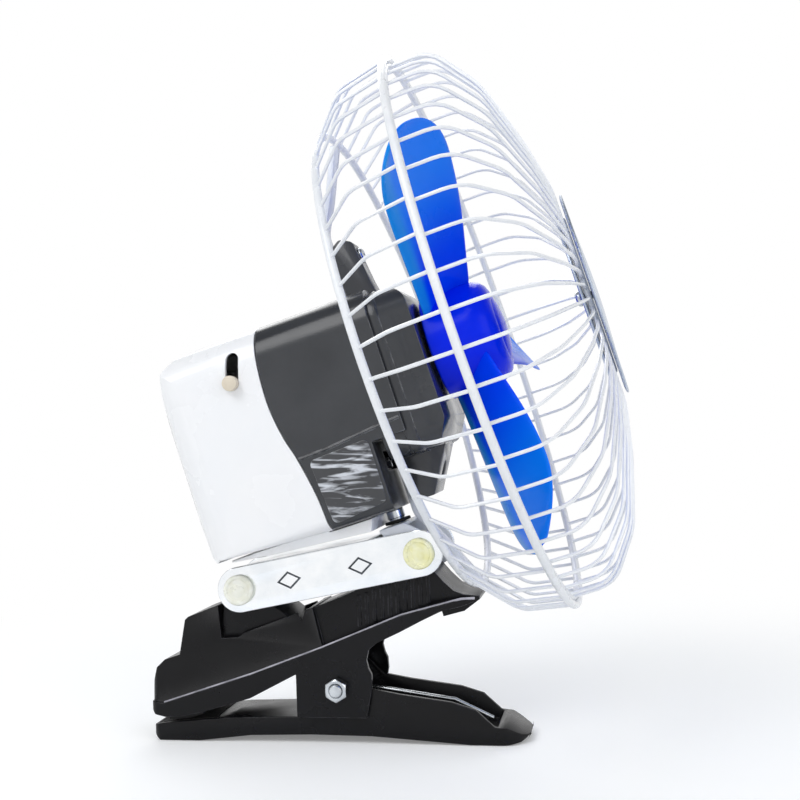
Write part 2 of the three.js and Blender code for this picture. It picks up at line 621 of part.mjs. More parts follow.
function motorBracket() {
  const half = housingHalfWidth - housingWall - gap;
  const side = new THREE.Shape();
  side.moveTo(motorRear, motorBottom);
  side.lineTo(motorFront - 5, motorBottom);
  side.lineTo(motorFront, motorBottom + 9);
  side.absarc(motorFront - motorCorner, motorTop - motorCorner, motorCorner, 0, Math.PI / 2, false);
  side.lineTo(motorRear, motorTop);
  const body = across(side, -half, half)
    .intersect(along(roundedRectangle(-half, half, motorBottom - 1, motorTop, 8, topCorner - housingWall),
      -60, -10));
  const hollow = box(motorRear - 1, motorFront - 2.2, -half + 2, half - 2, motorBottom + 2, motorTop - 2)
    .intersect(along(roundedRectangle(-half + 2, half - 2, motorBottom + 1, motorTop - 2, 6, 10), -60, -10));
  const upperArm = outline([[motorRear, 18], [motorRear, armTip - 2.6], [motorRear + 4, armTip],
    [-38, armTip - 2.6], [-36, 34], [-33, 18]]);
  const lowerArm = outline([[motorRear, -34], [-24.4, -30], [-27.7, -36.2], [-35.1, -48.7],
    [-37.6, -armTip], [motorRear + 2, -armTip], [motorRear, -armTip + 2]]);
  const shell = cut(body, hollow);
  const front = [-1, 1].map((sign) => rodX(screwHeadRadius + gap, -38, -20, 0, sign * strapScrewHeight, 16));
  const screwHoles = [-1, 1].map((sign) =>
    rodX(screwRadius + boltClearance, motorRear - 1, -20, 0, sign * strapScrewHeight, 16));
  const inner = box(motorRear - 1, motorFront - 2.2, -8, 8, motorBottom + 2, 18);
  return cut(join(shell,
    cut(across(upperArm, -armBarHalfWidth, armBarHalfWidth),
      box(motorRear - 1, motorFront - 2.2, -20, 20, 0, motorTop - 2)),
    cut(across(lowerArm, -armBarHalfWidth * 2, armBarHalfWidth * 2), inner,
      box(motorRear - 1, motorFront - 2.2, -20, 20, motorBottom + 2, 0)),
    rodX(bushRadius + 2.5, motorFront - 5, motorFront, 0, 0)),
  rodX(bushRadius + runClearance, motorFront - 8, motorFront + 2, 0, 0),
  ...front, ...screwHoles);
}

function stator() {
  const half = housingHalfWidth - housingWall * 2 - gap * 2;
  const stack = roundedRectangle(-half, half, motorBottom + 2 + gap + 0.3, motorTop - 2 - gap, 5, 10);
  const window = box(stackRear - 1, stackFront + 1, -8, 8, motorBottom + 8, -statorBore - 4);
  return cut(along(stack, stackRear, stackFront),
    rodX(statorBore, stackRear - 1, stackFront + 1, 0, 0, 32), window);
}

function motorCoil() {
  return cut(
    box(stackRear - 1.5, stackFront + 1.2, -8 + gap, 8 - gap, motorBottom + 8 + gap, -statorBore - 4 - gap),
    box(stackRear - 3, stackFront + 3, -3, 3, motorBottom + 12, -statorBore - 8));
}

function bush(x0, x1) {
  return cut(rodX(bushRadius, x0, x1), rodX(shaftRadius + runClearance, x0 - 1, x1 + 1));
}

function gearboxFrame() {
  const half = housingHalfWidth - housingWall - gap;
  const plate = roundedRectangle(-half, half, housingBottom + housingWall + gap,
    housingTop - housingWall - gap - 2, bottomCorner - housingWall, topCorner - housingWall);
  const shelf = box(wheelAxial - 6, frameRear + 1, 4, 25, -12, -9);
  const web = box(wheelAxial - 6, frameRear + 1, 4, 5.5, -18, -9);
  return cut(join(along(plate, frameRear, frameRear + frameSheet), shelf, web,
    rodX(bushRadius + 2, frameRear - 1.5, frameRear + frameSheet + 2)),
  rodX(bushRadius + runClearance, frameRear - 3, frameRear + 8),
  rodZ(2 + runClearance, -20, 0, wheelAxial, wheelY, 16),
  box(frameRear - 1, frameRear + 8, -2, 22, leverLow - 3, leverLow + 12),
  ...[-1, 1].map((side) => rodX(screwRadius + runClearance, frameRear - 2, frameRear + 8,
    side * coverScrewY, coverScrewZ, 16)));
}

const wheelY = wheelRadius + wormRadius + 0.4;

function coverScrew(side) {
  const head = coverScrewSeat - gap;
  return join(rodX(screwRadius, head - 1, frameRear + frameSheet + 1, side * coverScrewY, coverScrewZ),
    rodX(screwHeadRadius, head - screwHeadHeight, head, side * coverScrewY, coverScrewZ));
}

function strapScrew(sign) {
  const headFace = -38 + gap;
  return join(
    rodX(screwRadius, strapAxial - strapSheet / 2 - 0.4, headFace + 1, 0, sign * strapScrewHeight, 16),
    rodX(screwHeadRadius, headFace, headFace + screwHeadHeight, 0, sign * strapScrewHeight, 20));
}

// ---------------------------------------------------------------- fan and gearbox
function towardsRim(angle, axial, radius) {
  return [axial, radius * Math.sin(angle), radius * Math.cos(angle)];
}

// a blade sweeps back as it leaves the hub: its two edges at a few radii,
// each as [radius, degrees and axial of the front edge, degrees and axial of the rear edge]
const bladeEdges = [
  [hubRadius - hubWall * 0.6, 46, -1, -22, -19],
  [hubRadius + 14, 30, 3.5, -18, -17.5],
  [hubRadius + 34, 24, 8.5, -16, -16],
  [bladeRadius - 14, 22, 11, -14, -14],
  [bladeRadius - 3, 13, 5.5, -10, -10],
  [bladeRadius, 4, 0, -4, -5],
];

function blade(middle) {
  const geometry = new THREE.BoxGeometry(1, 1, 1, bladeEdges.length - 1, 4, 1);
  const position = geometry.attributes.position;
  for (let i = 0; i < position.count; i += 1) {
    const station = Math.round((position.getX(i) + 0.5) * (bladeEdges.length - 1));
    const [radius, frontTurn, frontAxial, rearTurn, rearAxial] = bladeEdges[station];
    const share = position.getY(i) + 0.5;
    const camber = 4 * bladeCamber * share * (1 - share);
    const turn = middle + rad(THREE.MathUtils.lerp(rearTurn, frontTurn, share));
    const axial = THREE.MathUtils.lerp(rearAxial, frontAxial, share) + camber;
    position.setXYZ(i, ...towardsRim(turn, axial - position.getZ(i) * bladeSheet, radius));
  }
  return solid(geometry);
}

function fanBlades() {
  const outside = lathe([[0, hubRear], [hubRadius, hubRear], [hubRadius, -2], [hubRadius - 1.6, 3],
    [hubRadius - 6, 6.4], [hubRadius - 12, hubFront - 0.4], [0, hubFront]], 20);
  const inside = lathe([[0, hubRear - 1], [hubRadius - hubWall, hubRear - 1], [hubRadius - hubWall, -2.4],
    [hubRadius - 5.5, 2.4], [0, 4.6]], 20);
  const boss = rodX(hubBossRadius, hubRear + 6, hubFront - 2);
  const bore = rodX(hubBushRadius, hubRear, shaftFront + 0.6);
  const blades = Array.from({ length: bladeCount }, (_, i) =>
    blade(rad(bladeStart + (360 / bladeCount) * i)));
  return cut(join(cut(outside, inside), boss, ...blades), bore);
}

function hubBush() {
  return cut(rodX(hubBushRadius - runClearance, hubRear + 6.3, shaftFront - 0.4),
    rodX(shaftRadius + runClearance, -40, 20));
}

function rotor() {
  return cut(rodX(rotorRadius, stackRear, stackFront, 0, 0, 32),
    rodX(shaftRadius + runClearance, stackRear - 1, stackFront + 1));
}

function worm() {
  const x0 = wheelAxial - wormLength / 2;
  const x1 = wheelAxial + wormLength / 2;
  const steps = wormTurns * 4;
  const thread = Array.from({ length: steps + 1 }, (_, i) => {
    const turn = (i / 4) * Math.PI * 2;
    return [x0 + 1.2 + (i / steps) * (wormLength - 2.4),
      wormCore * Math.sin(turn), wormCore * Math.cos(turn)];
  });
  return cut(join(rodX(wormCore, x0, x1, 0, 0, 8), wire(thread, wormRadius - wormCore, 3)),
    rodX(shaftRadius + runClearance, x0 - 1, x1 + 1, 0, 0, 12));
}

function wormWheel() {
  const points = [];
  for (let i = 0; i < wheelTeeth; i += 1) {
    const pitchAngle = (Math.PI * 2) / wheelTeeth;
    for (const [share, radius] of [[0, wheelRadius], [0.5, wheelRadius - 1.4]]) {
      const turn = (i + share) * pitchAngle;
      points.push([wheelAxial + radius * Math.cos(turn), wheelY + radius * Math.sin(turn)]);
    }
  }
  return join(upward(outline(points), -2.5, 2.5), rodZ(2, crankTop + gap, 4, wheelAxial, wheelY, 16));
}

const crankTop = leverLow + leverSheet + gap + linkSheet + gap + 5;

function crank() {
  const disc = rodZ(crankRadius, crankTop - 2.5, crankTop, wheelAxial, wheelY, 24);
  const pin = rodZ(1.4, leverLow + leverSheet + gap + linkSheet + gap, crankTop - 1, wheelAxial,
    wheelY - crankThrow, 12);
  return join(disc, pin);
}

function crankLink() {
  const low = leverLow + leverSheet + gap;
  const bar = stadium(wheelAxial, wheelY - crankThrow, spindleAxial, leverThrow, linkWidth / 2);
  return cut(upward(bar, low, low + linkSheet),
    rodZ(1.4 + boltClearance, low - 1, low + linkSheet + 1, spindleAxial, leverThrow, 12));
}

// ---------------------------------------------------------------- guards
const frontRimRadius = rimRadius - rimWire - frontRimWire - gap;
const wireAngle = (i) => ((i + 0.5) / wireCount) * Math.PI * 2;

function rearGuard() {
  const wires = Array.from({ length: wireCount }, (_, i) => {
    const at = (axial, radius) => towardsRim(wireAngle(i), axial, radius);
    return wire([at(0, rimRadius), at(rearCornerAxial, rearCornerRadius), at(rearRingAxial, rearRingRadius)],
      guardWire, 3);
  });
  return join(ring(rimRadius, rimWire, 0),
    ring(rearRingRadius, rearRingWire, rearRingAxial, wireCount, 4), ...wires);
}

// the strap bends forward from the motor bracket to the inside of the rear ring
function guardStrap() {
  const half = strapSheet / 2;
  const a = strapAxial;
  const reach = rearRingRadius - rearRingWire - gap;
  const knee = rearRingRadius - 19.6;
  const foot = knee - 13;
  const strap = outline([
    [rearRingAxial - 2.4, reach], [a + 6.5 - half, knee], [a - half, foot], [a - half, -foot],
    [a + 6.5 - half, -knee], [rearRingAxial - 2.4, -reach], [rearRingAxial + 0.2, -reach],
    [a + 6.5 + half, -knee + 1], [a + half, -foot + 0.6], [a + half, foot - 0.6],
    [a + 6.5 + half, knee - 1], [rearRingAxial + 0.2, reach],
  ]);
  const screwHoles = [-1, 1].map((sign) =>
    rodX(screwRadius + boltClearance, a - 3, a + 3, 0, sign * strapScrewHeight, 12));
  return cut(across(strap, -strapWidth / 2, strapWidth / 2), ...screwHoles,
    rodX(shaftRadius + 0.9, a - 3, a + 3, 0, 0, 20));
}

function frontGuard() {
  const wires = Array.from({ length: wireCount }, (_, i) => {
    const at = (axial, radius) => towardsRim(wireAngle(i), axial, radius);
    return wire([at(0, frontRimRadius), at(16, frontRimRadius), at(29, 88), at(frontDepth, 46),
      at(frontDepth, frontRingRadius)], guardWire, 3);
  });
  return join(ring(frontRimRadius, frontRimWire, 0, wireCount, 4),
    ring(frontRingRadius, frontRingWire, frontDepth, wireCount / 2, 4), ...wires);
}

function badgeFront() {
  const rear = frontDepth + frontRingWire + gap;
  return lathe([[0, rear], [badgeRadius, rear], [badgeRadius + 0.6, rear + badgeSheet * 0.5],
    [badgeRadius - 1, rear + badgeSheet], [badgeRadius * 0.5, rear + badgeSheet + 0.9],
    [0, rear + badgeSheet + 1.2]]);
}

function badgeBack() {
  const front = frontDepth - frontRingWire - gap;
  return cut(rodX(frontRingRadius + 3, front - badgeSheet, front, 0, 0, 36),
    rodX(screwRadius + boltClearance, front - 4, front + 2, 0, 0, 12));
}

function badgeScrew() {
  const front = frontDepth - frontRingWire - gap;
  return join(rodX(screwRadius, front - badgeSheet - 0.6, frontDepth + frontRingWire, 0, 0, 12),
    rodX(screwHeadRadius, front - badgeSheet - gap - screwHeadHeight, front - badgeSheet - gap, 0, 0, 16));
}

// ---------------------------------------------------------------- controls
// the lever rests at the lower end of its upright slot
function oscillationLever() {
  const face = housingHalfWidth;
  const inner = housingHalfWidth - housingWall;
  return join(
    rodY(slotWidth / 2 + 0.4, -face - 3.4, -face - gap, leverAxial, leverHeight),
    rodY(slotWidth / 2 - gap, -face - 1, -inner + 2.4, leverAxial, leverHeight),
    box(leverAxial - 4, leverAxial + 4, -inner + 1.8, -inner + 3.4, leverHeight - 5, leverHeight + 1));
}

function switchBody() {
  const low = housingBottom + housingWall + gap;
  return cut(
    box(switchAxial - switchLength / 2 - 2, switchAxial + switchLength / 2 + 2, -switchWidth / 2 - 2,
      switchWidth / 2 + 2, low, low + 10),
    box(switchAxial - switchLength / 2 + 0.4, switchAxial + switchLength / 2 - 0.4, -switchWidth / 2 + 0.4,
      switchWidth / 2 - 0.4, low - 1, low + 6));
}

function rocker() {
  const half = switchLength / 2 - 1.2;
  const shape = outline([[switchAxial - half, housingBottom - 1], [switchAxial, housingBottom - 0.2],
    [switchAxial + half, housingBottom - 1.4], [switchAxial + half, housingBottom + 3.4],
    [switchAxial + 2, housingBottom + 5.4], [switchAxial - 2, housingBottom + 5.4],
    [switchAxial - half, housingBottom + 3.4]]);
  return across(shape, -switchWidth / 2 + 0.8, switchWidth / 2 - 0.8);
}

function cordGland() {
  const wall = housingRear + housingWall;
  return cut(join(rodX(glandRadius, wall - 6, wall + 3.4, glandY, glandHeight),
    rodX(glandRadius + 1.6, wall + 1.6 + gap, wall + 3.6 + gap, glandY, glandHeight)),
  rodX(2, wall - 10, wall + 8, glandY, glandHeight, 12));
}

// ---------------------------------------------------------------- assembly
const clipFan = new THREE.Group();
const clamp = new THREE.Group();
const arm = new THREE.Group();
arm.position.set(armBoltX, 0, armBoltZ);
arm.rotation.y = -rad(armAngle);
// the head hangs on the arm's upper bolt, and its own origin is the centre of the rim
const head = new THREE.Group();
head.rotation.y = -rad(headTilt);
const tiltBolt = new THREE.Vector3(tiltBoltAxial, 0, tiltBoltHeight).applyEuler(head.rotation);
head.position.set(armLength, 0, 0).applyEuler(arm.rotation).add(arm.position).sub(tiltBolt);

place(clamp, 'lower_jaw', lowerJaw(), colours.black);
place(clamp, 'lower_jaw_pad', jawPad(-1), colours.rubber);
place(clamp, 'upper_jaw', upperJaw(), colours.black);
place(clamp, 'upper_jaw_pad', jawPad(1), colours.rubber);
place(clamp, 'arm_knuckle', armKnuckle(), colours.black);
place(clamp, 'clamp_bolt', pivotBolt(), colours.steel);
place(clamp, 'clamp_nut', pivotNut(), colours.steel);
place(clamp, 'clamp_spring', clampSpring(), colours.steel);

place(arm, 'link_arm', linkArm(), colours.chrome);
place(arm, 'lower_arm_bolt', armBolt(0), colours.steel);
place(arm, 'lower_arm_nut', armNut(0), colours.steel);
place(arm, 'upper_arm_bolt', armBolt(armLength), colours.zinc);
place(arm, 'upper_arm_nut', armNut(armLength), colours.steel);

place(head, 'head_bracket', headBracket(), colours.white);
place(head, 'spindle', spindle(), colours.steel);
place(head, 'spindle_washer', spindleWasher(), colours.rubber);
place(head, 'spindle_nut', spindleNut(), colours.steel);
place(head, 'spindle_lever', spindleLever(), colours.steel);

place(head, 'rear_cover', rearCover(), colours.white);
place(head, 'front_housing', frontHousing(), colours.slate);
place(head, 'motor_bracket', motorBracket(), colours.slate);
place(head, 'stator', stator(), colours.steel);
place(head, 'motor_coil', motorCoil(), colours.copper);
place(head, 'front_bush', bush(motorFront - 5, motorFront + 0.4), colours.brass);
place(head, 'rear_bush', bush(frameRear - 1.5, frameRear + frameSheet + 2), colours.brass);
place(head, 'gearbox_frame', gearboxFrame(), colours.black);
place(head, 'cover_screw_left', coverScrew(-1), colours.steel);
place(head, 'cover_screw_right', coverScrew(1), colours.steel);
place(head, 'strap_screw_upper', strapScrew(1), colours.steel);
place(head, 'strap_screw_lower', strapScrew(-1), colours.steel);
place(head, 'rear_guard', rearGuard(), colours.whiteWire);
place(head, 'guard_strap', guardStrap(), colours.white);
place(head, 'front_guard', frontGuard(), colours.whiteWire);
place(head, 'badge_front', badgeFront(), colours.silver);
place(head, 'badge_back', badgeBack(), colours.silver);
place(head, 'badge_screw', badgeScrew(), colours.steel);
place(head, 'switch_body', switchBody(), colours.black);
place(head, 'rocker_switch', rocker(), colours.red);
place(head, 'oscillation_lever', oscillationLever(), colours.cream);
place(head, 'cord_gland', cordGland(), colours.rubber);

place(head, 'fan_blades', fanBlades(), colours.blue);
place(head, 'hub_bush', hubBush(), colours.brass);
place(head, 'motor_shaft', rodX(shaftRadius, shaftRear, shaftFront), colours.steel);
place(head, 'rotor', rotor(), colours.steel);
place(head, 'worm', worm(), colours.brass);
place(head, 'worm_wheel', wormWheel(), colours.cream);
place(head, 'crank', crank(), colours.steel);
place(head, 'crank_link', crankLink(), colours.steel);

clipFan.add(clamp, arm, head);
clipFan.updateMatrixWorld(true);
const footprint = new THREE.Box3().setFromObject(clipFan, true);
clipFan.position.set(-(footprint.min.x + footprint.max.x) / 2, -(footprint.min.y + footprint.max.y) / 2,
  -footprint.min.z);

export default clipFan;
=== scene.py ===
import json
import math

import bmesh
import bpy
from mathutils import Matrix, Vector


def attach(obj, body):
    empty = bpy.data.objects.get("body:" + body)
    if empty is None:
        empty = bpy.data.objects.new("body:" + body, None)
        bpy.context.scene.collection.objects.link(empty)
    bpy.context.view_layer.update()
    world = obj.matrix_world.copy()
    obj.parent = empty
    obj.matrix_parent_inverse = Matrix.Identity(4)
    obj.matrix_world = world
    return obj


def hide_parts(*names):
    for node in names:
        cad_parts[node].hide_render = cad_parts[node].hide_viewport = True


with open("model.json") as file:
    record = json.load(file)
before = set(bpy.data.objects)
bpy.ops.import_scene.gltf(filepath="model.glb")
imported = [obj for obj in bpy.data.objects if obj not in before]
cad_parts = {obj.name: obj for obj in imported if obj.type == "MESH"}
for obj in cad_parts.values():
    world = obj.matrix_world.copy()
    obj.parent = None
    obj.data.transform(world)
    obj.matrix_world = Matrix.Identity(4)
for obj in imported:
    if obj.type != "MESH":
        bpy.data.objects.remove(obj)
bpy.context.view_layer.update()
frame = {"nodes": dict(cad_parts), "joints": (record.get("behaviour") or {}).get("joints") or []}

scene = bpy.context.scene
nodes = frame["nodes"]
print("frame loaded with", len(nodes), "nodes")


def shift(x, y, z):
    return Matrix.Translation((x, y, z))


def turn(degrees, axis):
    return Matrix.Rotation(math.radians(degrees), 4, axis)


# pieces are modelled in millimetres in the frame of the clamp, the arm or the head
clampPivot = Vector((76, 0, 21.3))
armLean, armLength = 10.5, 72.4
headLean = 16.7
spindleAxial = -56.7
sides = {"Near": -1, "Far": 1}
millimetre = Matrix.Scale(0.001, 4)
jointPlace = {joint["name"]: Vector(joint["pos_m"]) for joint in frame["joints"] if "pos_m" in joint}
clampFrame = shift(*jointPlace["clamp_open"]) @ millimetre @ shift(*-clampPivot)
armFrame = shift(*jointPlace["arm_tilt"]) @ turn(-armLean, "Y") @ millimetre
headFrame = shift(*jointPlace["blade_spin"]) @ turn(-headLean, "Y") @ millimetre
bodyFrames = {"clamp_base": clampFrame, "clamp_top": clampFrame, "arm": armFrame, "neck": headFrame,
              "head": headFrame, "fan": headFrame, "lever": headFrame}
# a turned piece is modelled along Z and then laid along the fan's axis or across the fan
alongAxis = turn(90, "Y")
backwards = turn(-90, "Y")
towardsNear = turn(90, "X")
towardsFar = turn(-90, "X")


# node trees: a node stands for its first output, and i0, i1 and so on for its inputs by number
def connect(tree, socket, value):
    if isinstance(value, bpy.types.Node):
        value = value.outputs[0]
    if isinstance(value, bpy.types.NodeSocket):
        tree.links.new(value, socket)
    else:
        socket.default_value = value


def add(tree, kind, settings=None, **inputs):
    node = tree.nodes.new("ShaderNode" + kind)
    for key, value in (settings or {}).items():
        setattr(node, key, value)
    for label, value in inputs.items():
        numbered = label[0] == "i" and label[1:].isdigit()
        connect(tree, node.inputs[int(label[1:]) if numbered else label], value)
    return node


def emptied(owner):
    owner.use_nodes = True
    owner.node_tree.nodes.clear()
    return owner.node_tree


def noise(tree, place, scale, detail, **more):
    return add(tree, "TexNoise", Vector=place, Scale=scale, Detail=detail, **more)


def ramp(tree, value, start, end, low=0.0, high=1.0, kind="LINEAR"):
    return add(tree, "MapRange", {"interpolation_type": kind}, i0=value, i1=start, i2=end, i3=low, i4=high)


def product(tree, first, second):
    return add(tree, "Math", {"operation": "MULTIPLY"}, i0=first, i1=second)


def blend(tree, share, first, second):
    return add(tree, "Mix", {"data_type": "RGBA"}, i0=share, i6=first, i7=second).outputs[2]


# node groups shared by the finishes
def newGroup(name, inputs, outputs):
    group = bpy.data.node_groups.new(name, "ShaderNodeTree")
    for label, kind, value in [("Vector", "Vector", None)] + inputs:
        socket = group.interface.new_socket(label, in_out="INPUT", socket_type="NodeSocket" + kind)
        if value is not None:
            socket.default_value = value
    for label, kind in outputs:
        group.interface.new_socket(label, in_out="OUTPUT", socket_type="NodeSocket" + kind)
    return group, group.nodes.new("NodeGroupInput").outputs, group.nodes.new("NodeGroupOutput").inputs


def toneGroup():
    group, given, result = newGroup("surfaceTone", [
        ("Base", "Color", (1, 1, 1, 1)), ("Shade", "Color", (0, 0, 0, 1)), ("Scale", "Float", 40),
        ("Amount", "Float", 0.5)], [("Color", "Color")])
    spots = ramp(group, noise(group, given["Vector"], given["Scale"], 5.0), 0.36, 0.66)
    share = product(group, spots, given["Amount"])
    connect(group, result["Color"], blend(group, share, given["Base"], given["Shade"]))
    return group


def grainGroup():
    group, given, result = newGroup("surfaceGrain", [("Scale", "Float", 1500), ("Ripple", "Float", 0.3)],
                                    [("Height", "Float")])
    fine = noise(group, given["Vector"], given["Scale"], 3.0)
    wave = product(group, noise(group, given["Vector"], 70.0, 2.0), given["Ripple"])
    connect(group, result["Height"], add(group, "Math", {"operation": "ADD"}, i0=fine, i1=wave))
    return group


def glossGroup():
    group, given, result = newGroup("glossRange", [
        ("Scale", "Float", 60), ("Low", "Float", 0.2), ("High", "Float", 0.4)], [("Roughness", "Float")])
    spots = noise(group, given["Vector"], given["Scale"], 6.0)
    connect(group, result["Roughness"], ramp(group, spots, 0.35, 0.68, given["Low"], given["High"]))
    return group


# edges found by the Bevel node are coloured apart: partly rubbed, partly painted highlight where lighter and
# painted shade where darker
def edgeWearAndLightGroup():
    group, given, result = newGroup("edgeWearAndLight", [
        ("Radius", "Float", 0.0005), ("Break", "Float", 300), ("Amount", "Float", 1)],
        [("Mask", "Float"), ("Normal", "Vector")])
    rounded = add(group, "Bevel", {"samples": 4}, Radius=given["Radius"])
    connect(group, result["Normal"], rounded)
    facing = group.nodes.new("ShaderNodeNewGeometry").outputs["Normal"]
    alike = add(group, "VectorMath", {"operation": "DOT_PRODUCT"}, i0=rounded, i1=facing).outputs["Value"]
    broken = ramp(group, noise(group, given["Vector"], given["Break"], 4.0), 0.38, 0.6)
    mask = product(group, ramp(group, alike, 0.995, 0.85), broken)
    connect(group, result["Mask"], product(group, mask, given["Amount"]))
    return group


# a stretched noise mask, used for the painted reflections on the housing's film
def streakGroup():
    group, given, result = newGroup("streaks", [
        ("Scale", "Float", 40), ("From", "Float", 0.55), ("To", "Float", 0.7)], [("Mask", "Float")])
    spots = noise(group, given["Vector"], given["Scale"], 4.0, Distortion=0.6)
    connect(group, result["Mask"], ramp(group, spots, given["From"], given["To"]))
    return group


groups = {"tone": toneGroup(), "grain": grainGroup(), "gloss": glossGroup(), "wearAndLight": edgeWearAndLightGroup(),
          "streaks": streakGroup()}


def useGroup(tree, name, **inputs):
    node = tree.nodes.new("ShaderNodeGroup")
    node.node_tree = groups[name]
    for label, value in inputs.items():
        connect(tree, node.inputs[label], value)
    return node


def tint(red, green, blue):
    return tuple(((part / 255 + 0.055) / 1.055) ** 2.4 if part > 10 else part / 3294.6
                 for part in (red, green, blue)) + (1,)


# base and shade are a finish's two tones and edge the colour of its edges, all in sRGB: lighter edges are
# partly rubbed and partly painted highlight, darker edges are painted shade; tone and gloss give the size of
# their spots, then the shade's share or the roughness range; grain gives the bump's size, ripple and depth;
# edgeShare gives the edge colour's width, break-up and strength
finishLooks = {
    "blackPlastic": {"base": (17, 17, 20), "shade": (9, 9, 11), "tone": (30, 0.7),
        "gloss": (50, 0.22, 0.36), "grain": (1600, 0.2, 0.00002), "edge": (92, 92, 98),
        "edgeShare": (0.0005, 260, 0.8), "specular": 0.2},
    # the diamonds' dark rim colour is painted shade
    "paintedShadeSteel": {"base": (84, 90, 96), "shade": (44, 48, 54), "tone": (300, 0.8), "metal": 0.6,
        "gloss": (200, 0.25, 0.45), "grain": (1200, 0.1, 0.00002)},
    # a pale plastic for the painted highlight along the upper jaw's ledge
    "paintedHighlightPlastic": {"base": (186, 184, 194), "shade": (112, 111, 120), "tone": (120, 0.9),
        "gloss": (80, 0.2, 0.34), "grain": (1600, 0.2, 0.00002)},
    "blackRubber": {"base": (24, 24, 25), "shade": (38, 38, 39), "tone": (60, 0.5),
        "gloss": (60, 0.6, 0.8), "grain": (1100, 0.3, 0.00008)},
    "zincSteel": {"base": (214, 218, 222), "shade": (170, 176, 182), "tone": (150, 0.7), "metal": 1.0,
        "gloss": (120, 0.16, 0.34), "grain": (900, 0.1, 0.00001), "edge": (120, 126, 130),
        "edgeShare": (0.0004, 500, 0.4)},
    "yellowZinc": {"base": (252, 251, 214), "shade": (240, 236, 168), "tone": (260, 0.8), "metal": 0.15,
        "gloss": (200, 0.22, 0.4), "grain": (1200, 0.1, 0.00002), "edge": (176, 170, 84),
        "edgeShare": (0.0004, 500, 0.5)},
    "creamZinc": {"base": (250, 251, 242), "shade": (234, 234, 216), "tone": (260, 0.8), "metal": 0.15,
        "gloss": (200, 0.22, 0.4), "grain": (1200, 0.1, 0.00002), "edge": (172, 168, 132),
        "edgeShare": (0.0004, 500, 0.5)},
    "chrome": {"base": (250, 252, 254), "shade": (226, 232, 238), "tone": (90, 0.6), "metal": 1.0,
        "gloss": (80, 0.1, 0.22), "grain": (700, 0.5, 0.000012), "edge": (110, 118, 126),
        "edgeShare": (0.0005, 300, 0.55)},
    "whitePaint": {"base": (240, 243, 248), "shade": (222, 228, 238), "tone": (55, 0.5),
        "gloss": (70, 0.22, 0.36), "grain": (1500, 0.4, 0.00002), "edge": (196, 202, 212),
        "edgeShare": (0.0004, 260, 0.5), "coat": 0.3},
    "whitePlastic": {"base": (252, 252, 253), "shade": (246, 248, 251), "tone": (24, 0.6),
        "gloss": (40, 0.2, 0.32), "grain": (1900, 0.35, 0.00001), "coat": 0.3},
    "slatePlastic": {"base": (56, 58, 62), "shade": (40, 42, 46), "tone": (36, 0.7),
        "gloss": (40, 0.16, 0.3), "grain": (1700, 0.5, 0.00002), "edge": (150, 152, 156),
        "edgeShare": (0.0005, 240, 0.7), "coat": 0.2, "specular": 0.4},
    "laminationSteel": {"base": (150, 152, 156), "shade": (96, 98, 102), "tone": (200, 0.9), "metal": 0.8,
        "gloss": (200, 0.4, 0.6), "grain": (900, 0.1, 0.00006)},
    "copper": {"base": (190, 108, 58), "shade": (146, 74, 34), "tone": (400, 0.9), "metal": 0.8,
        "gloss": (400, 0.3, 0.5), "grain": (1500, 0.1, 0.0001)},
    "brass": {"base": (206, 172, 100), "shade": (170, 134, 70), "tone": (200, 0.7), "metal": 1.0,
        "gloss": (200, 0.25, 0.45), "grain": (1100, 0.1, 0.00003)},
    "whiteWire": {"base": (246, 248, 251), "shade": (232, 236, 243), "tone": (120, 0.5),
        "gloss": (150, 0.24, 0.4), "grain": (2200, 0.2, 0.00002), "coat": 0.4},
    "silverDisc": {"base": (198, 208, 222), "shade": (176, 188, 206), "tone": (60, 0.6), "metal": 0.75,
        "gloss": (80, 0.2, 0.36), "grain": (1300, 0.2, 0.00001), "edge": (138, 148, 164),
        "edgeShare": (0.0005, 260, 0.5)},
    "royalBlue": {"base": (0, 48, 250), "shade": (0, 32, 234), "tone": (40, 0.7),
        "gloss": (50, 0.14, 0.26), "grain": (1500, 0.3, 0.000006), "specular": 0.12},
    "creamPlastic": {"base": (232, 222, 204), "shade": (206, 192, 170), "tone": (150, 0.6),
        "gloss": (150, 0.35, 0.5), "grain": (1500, 0.2, 0.00003)},
    "redPlastic": {"base": (186, 34, 40), "shade": (140, 20, 28), "tone": (150, 0.6),
        "gloss": (150, 0.18, 0.32), "grain": (1500, 0.2, 0.00001), "coat": 0.3},
}


